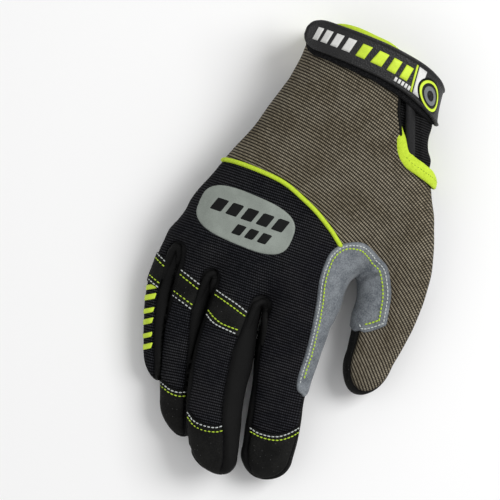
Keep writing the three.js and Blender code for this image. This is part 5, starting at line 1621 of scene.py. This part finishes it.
CAP_STITCHES = {
    "thread_white": (((3.5, -94.5), (10, -95.7), (18, -94.7), (24, -91.2), (29, -86)),
                     ((-31, -97.3), (-26, -100.5), (-20, -101.2), (-14, -100.2), (-10.5, -98)),
                     ((-49.8, -87), (-44, -89.1), (-39, -89.1), (-35, -87.5))),
    "thread_lime": (((4.4, -96.3), (12, -97.3), (20, -96), (26, -92.2), (29.6, -88.3)),
                    ((-30, -99.5), (-25, -102.8), (-19, -103.5), (-13, -102.3), (-9.5, -100.3)),
                    ((-49.3, -88.8), (-43, -90.9), (-38, -90.9), (-34.5, -89.6))),
}
BAND_STITCHES = {
    "thread_white": (((-37, -29.8), (-25, -33.2), (-18, -35.9)), ((-37.6, -43.8), (-32, -47.2), (-20, -48.7)),
                     ((-58.6, -25.6), (-46.8, -30)), ((-58.3, -40), (-46.8, -44)),
                     ((-73.6, -21.7), (-67.8, -24.5)), ((-73.4, -36.3), (-67.4, -38.9))),
    "thread_lime": (((-37, -32.2), (-27, -35.2), (-18.3, -38.2)),
                    ((-37.6, -41.5), (-33, -44.4), (-28, -46), (-19.4, -46.4)),
                    ((-58.5, -28), (-46.8, -32.6)), ((-58.5, -37.6), (-46.8, -41.7)),
                    ((-73.6, -24.1), (-67.7, -27.2)), ((-73.6, -34), (-67.4, -36.6))),
}


# Rows on the fork patch: distance from its edge at the finger and at the thumb, and the thread's thickness
FORK_ROWS = {"thread_white": (1.2, 1.8, 0.75), "thread_lime": (2.7, 4.2, 0.95)}


class GloveStitches(bpy.types.Operator):
    """Sews the rows of lime and white thread"""

    bl_idname = "glove.stitches"
    bl_label = "Stitches"

    def execute(self, context):
        for slot, (near, far, thick) in FORK_ROWS.items():
            rows = [row_on_skin(rounded(line, 8, False), 0.0) for line in CAP_STITCHES[slot]]
            rows += [row_on_skin(rounded(line, 8, False), 0.75) for line in BAND_STITCHES[slot]]
            sew("finger_" + slot, rows, slot, 2.1, 1.8, 0.75)
            distance = near + (far - near) * ease(18, 34, rounded(FORK_PATCH_BACK, 8)[:, 0])
            line = inset(FORK_PATCH_BACK, distance)
            deep = inside_outline(rounded(FORK_PATCH_BACK), line) > distance - 0.15
            sew("fork_" + slot, [row_on_skin(line[deep][2 * 8:-8 - 4], 1.3)], slot, 2.0, 1.7, thick)
        sew("palm_thread", self.palm_rows(), "thread_lime", 2.1, 1.6, 0.7)
        return {"FINISHED"}

    def palm_rows(self):
        """Rows just inside the palm patch's edge, round every gel pad, and across the finger pads' lower ends."""
        edge = rounded(PALM_PATCH)
        lines = [inset(PALM_PATCH, 1.6)]
        for outline in GEL_PADS.values():
            line = inset(outline, -1.4)
            lines.append(np.vstack([line, line[:1]]))
        rows = []
        for line in lines:
            for part in runs(line, inside_outline(edge, line) > 1.5):
                rows += row_under(part, OVERLAY + 0.25)
        for finger, (start, _) in (*TIP_PADS.items(), *JOINT_PADS.items()):
            digit = DIGITS[finger]
            y = np.full(24, digit["root"][1] * PALM_LENGTH - start * digit["size"][0] - 1.5)
            cx, _, a, _ = digit_section(finger, y)
            line = np.column_stack([cx + a * np.linspace(-0.62, 0.62, 24), y])
            rows.append(row_on_skin(line, 1.3, True))
        return rows


# Lamps: name, place in metres, size in metres, power in watts
LAMPS = (("key", (0.75, 0.6, 1.1), 0.8, 15), ("fill", (-0.8, -0.3, 1.1), 1.2, 2.2))
WORLD_LIGHT = 0.52
FLOOR_HALF, FLOOR_LEVEL = 3.0, -0.0005

# Camera: height above the view's centre and width of the view in metres, turn in degrees, film width in mm
CAMERA_HEIGHT, VIEW_WIDTH, VIEW_TURN, SENSOR = 2.4, 0.27, 19, 36
VIEW_CENTRE = np.array([-27.3, -3.7, 22])


class GloveStage(bpy.types.Operator):
    """Sets the pale floor, the soft lights and the camera straight above"""

    bl_idname = "glove.stage"
    bl_label = "Stage"

    def execute(self, context):
        scene = context.scene
        scene.view_settings.view_transform = "Standard"
        floor_mesh = bpy.data.meshes.new("floor")
        corners = [(x * FLOOR_HALF, y * FLOOR_HALF, FLOOR_LEVEL) for x, y in ((-1, -1), (1, -1), (1, 1), (-1, 1))]
        floor_mesh.from_pydata(corners, [], [(0, 1, 2, 3)])
        floor = bpy.data.objects.new("floor", floor_mesh)
        scene.collection.objects.link(floor)
        f = Finish("floor", 0.9, specular=0.2)
        f.paint((0.92, 0.92, 0.92))
        floor_mesh.materials.append(f.material)
        world = bpy.data.worlds.new("studio")
        scene.world = world
        world.use_nodes = True
        background = world.node_tree.nodes["Background"]
        background.inputs[0].default_value = (1, 1, 1, 1)
        background.inputs[1].default_value = WORLD_LIGHT
        for name, place, size, power in LAMPS:
            light = bpy.data.lights.new(name, "AREA")
            light.size, light.energy = size, power
            lamp = bpy.data.objects.new(name, light)
            lamp.location = place
            lamp.rotation_euler = aim(np.array(place))
            scene.collection.objects.link(lamp)
        camera = bpy.data.cameras.new("camera")
        camera.sensor_width = SENSOR
        camera.lens = SENSOR * CAMERA_HEIGHT / VIEW_WIDTH
        eye = bpy.data.objects.new("camera", camera)
        eye.location = (VIEW_CENTRE + SHIFT) * MM + np.array([0, 0, CAMERA_HEIGHT])
        eye.rotation_euler = Euler((0, 0, np.radians(VIEW_TURN)))
        scene.collection.objects.link(eye)
        scene.camera = eye
        return {"FINISHED"}


def aim(direction):
    """Turn of a lamp that stands in a direction from the glove and looks at it."""
    x, y, z = unit(direction)
    return Euler((np.arccos(z), 0, np.arctan2(y, x) + np.pi / 2))


class GloveLooks(bpy.types.PropertyGroup):
    """Colours and rib sizes of the glove's cloth"""

    back_rib: FloatProperty(name="Back rib", description="Rib pitch of the knit back", default=0.0016, unit="LENGTH")
    knuckle_rib: FloatProperty(
        name="Knuckle rib", description="Rib pitch of the black knit", default=0.00144, unit="LENGTH")
    taupe: FloatVectorProperty(
        name="Back", description="Colour of the knit back", default=sized((142, 134, 117)), subtype="COLOR")
    suede: FloatVectorProperty(
        name="Suede", description="Colour of the suede patches", default=sized((114, 119, 126)), subtype="COLOR")
    lime: FloatVectorProperty(
        name="Lime", description="Colour of binding and piping", default=sized((208, 234, 62)), subtype="COLOR")


class GlovePanel(bpy.types.Panel):
    """Lists the glove's pieces in the sidebar"""

    bl_idname = "VIEW3D_PT_glove"
    bl_label = "Glove"
    bl_space_type = "VIEW_3D"
    bl_region_type = "UI"
    bl_category = "Glove"

    def draw(self, context):
        looks = context.scene.glove_looks
        for name in ("back_rib", "knuckle_rib", "taupe", "suede", "lime"):
            self.layout.prop(looks, name)
        for operator in OPERATORS:
            self.layout.operator(operator.bl_idname)


OPERATORS = (GloveStage, GlovePanels, GlovePalm, GlovePatches, GlovePads, GloveBands, GloveFilm, GloveEdges,
             GloveGusset, GloveStrap, GloveStitches)


def register():
    for kind in (GloveLooks, *OPERATORS, GlovePanel):
        bpy.utils.register_class(kind)
    bpy.types.Scene.glove_looks = PointerProperty(type=GloveLooks)


def unregister():
    del bpy.types.Scene.glove_looks
    for kind in reversed((GloveLooks, *OPERATORS, GlovePanel)):
        bpy.utils.unregister_class(kind)


def main():
    """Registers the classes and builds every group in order."""
    register()
    for operator in OPERATORS:
        group, name = operator.bl_idname.split(".")
        getattr(getattr(bpy.ops, group), name)()


if __name__ == "__main__":
    main()
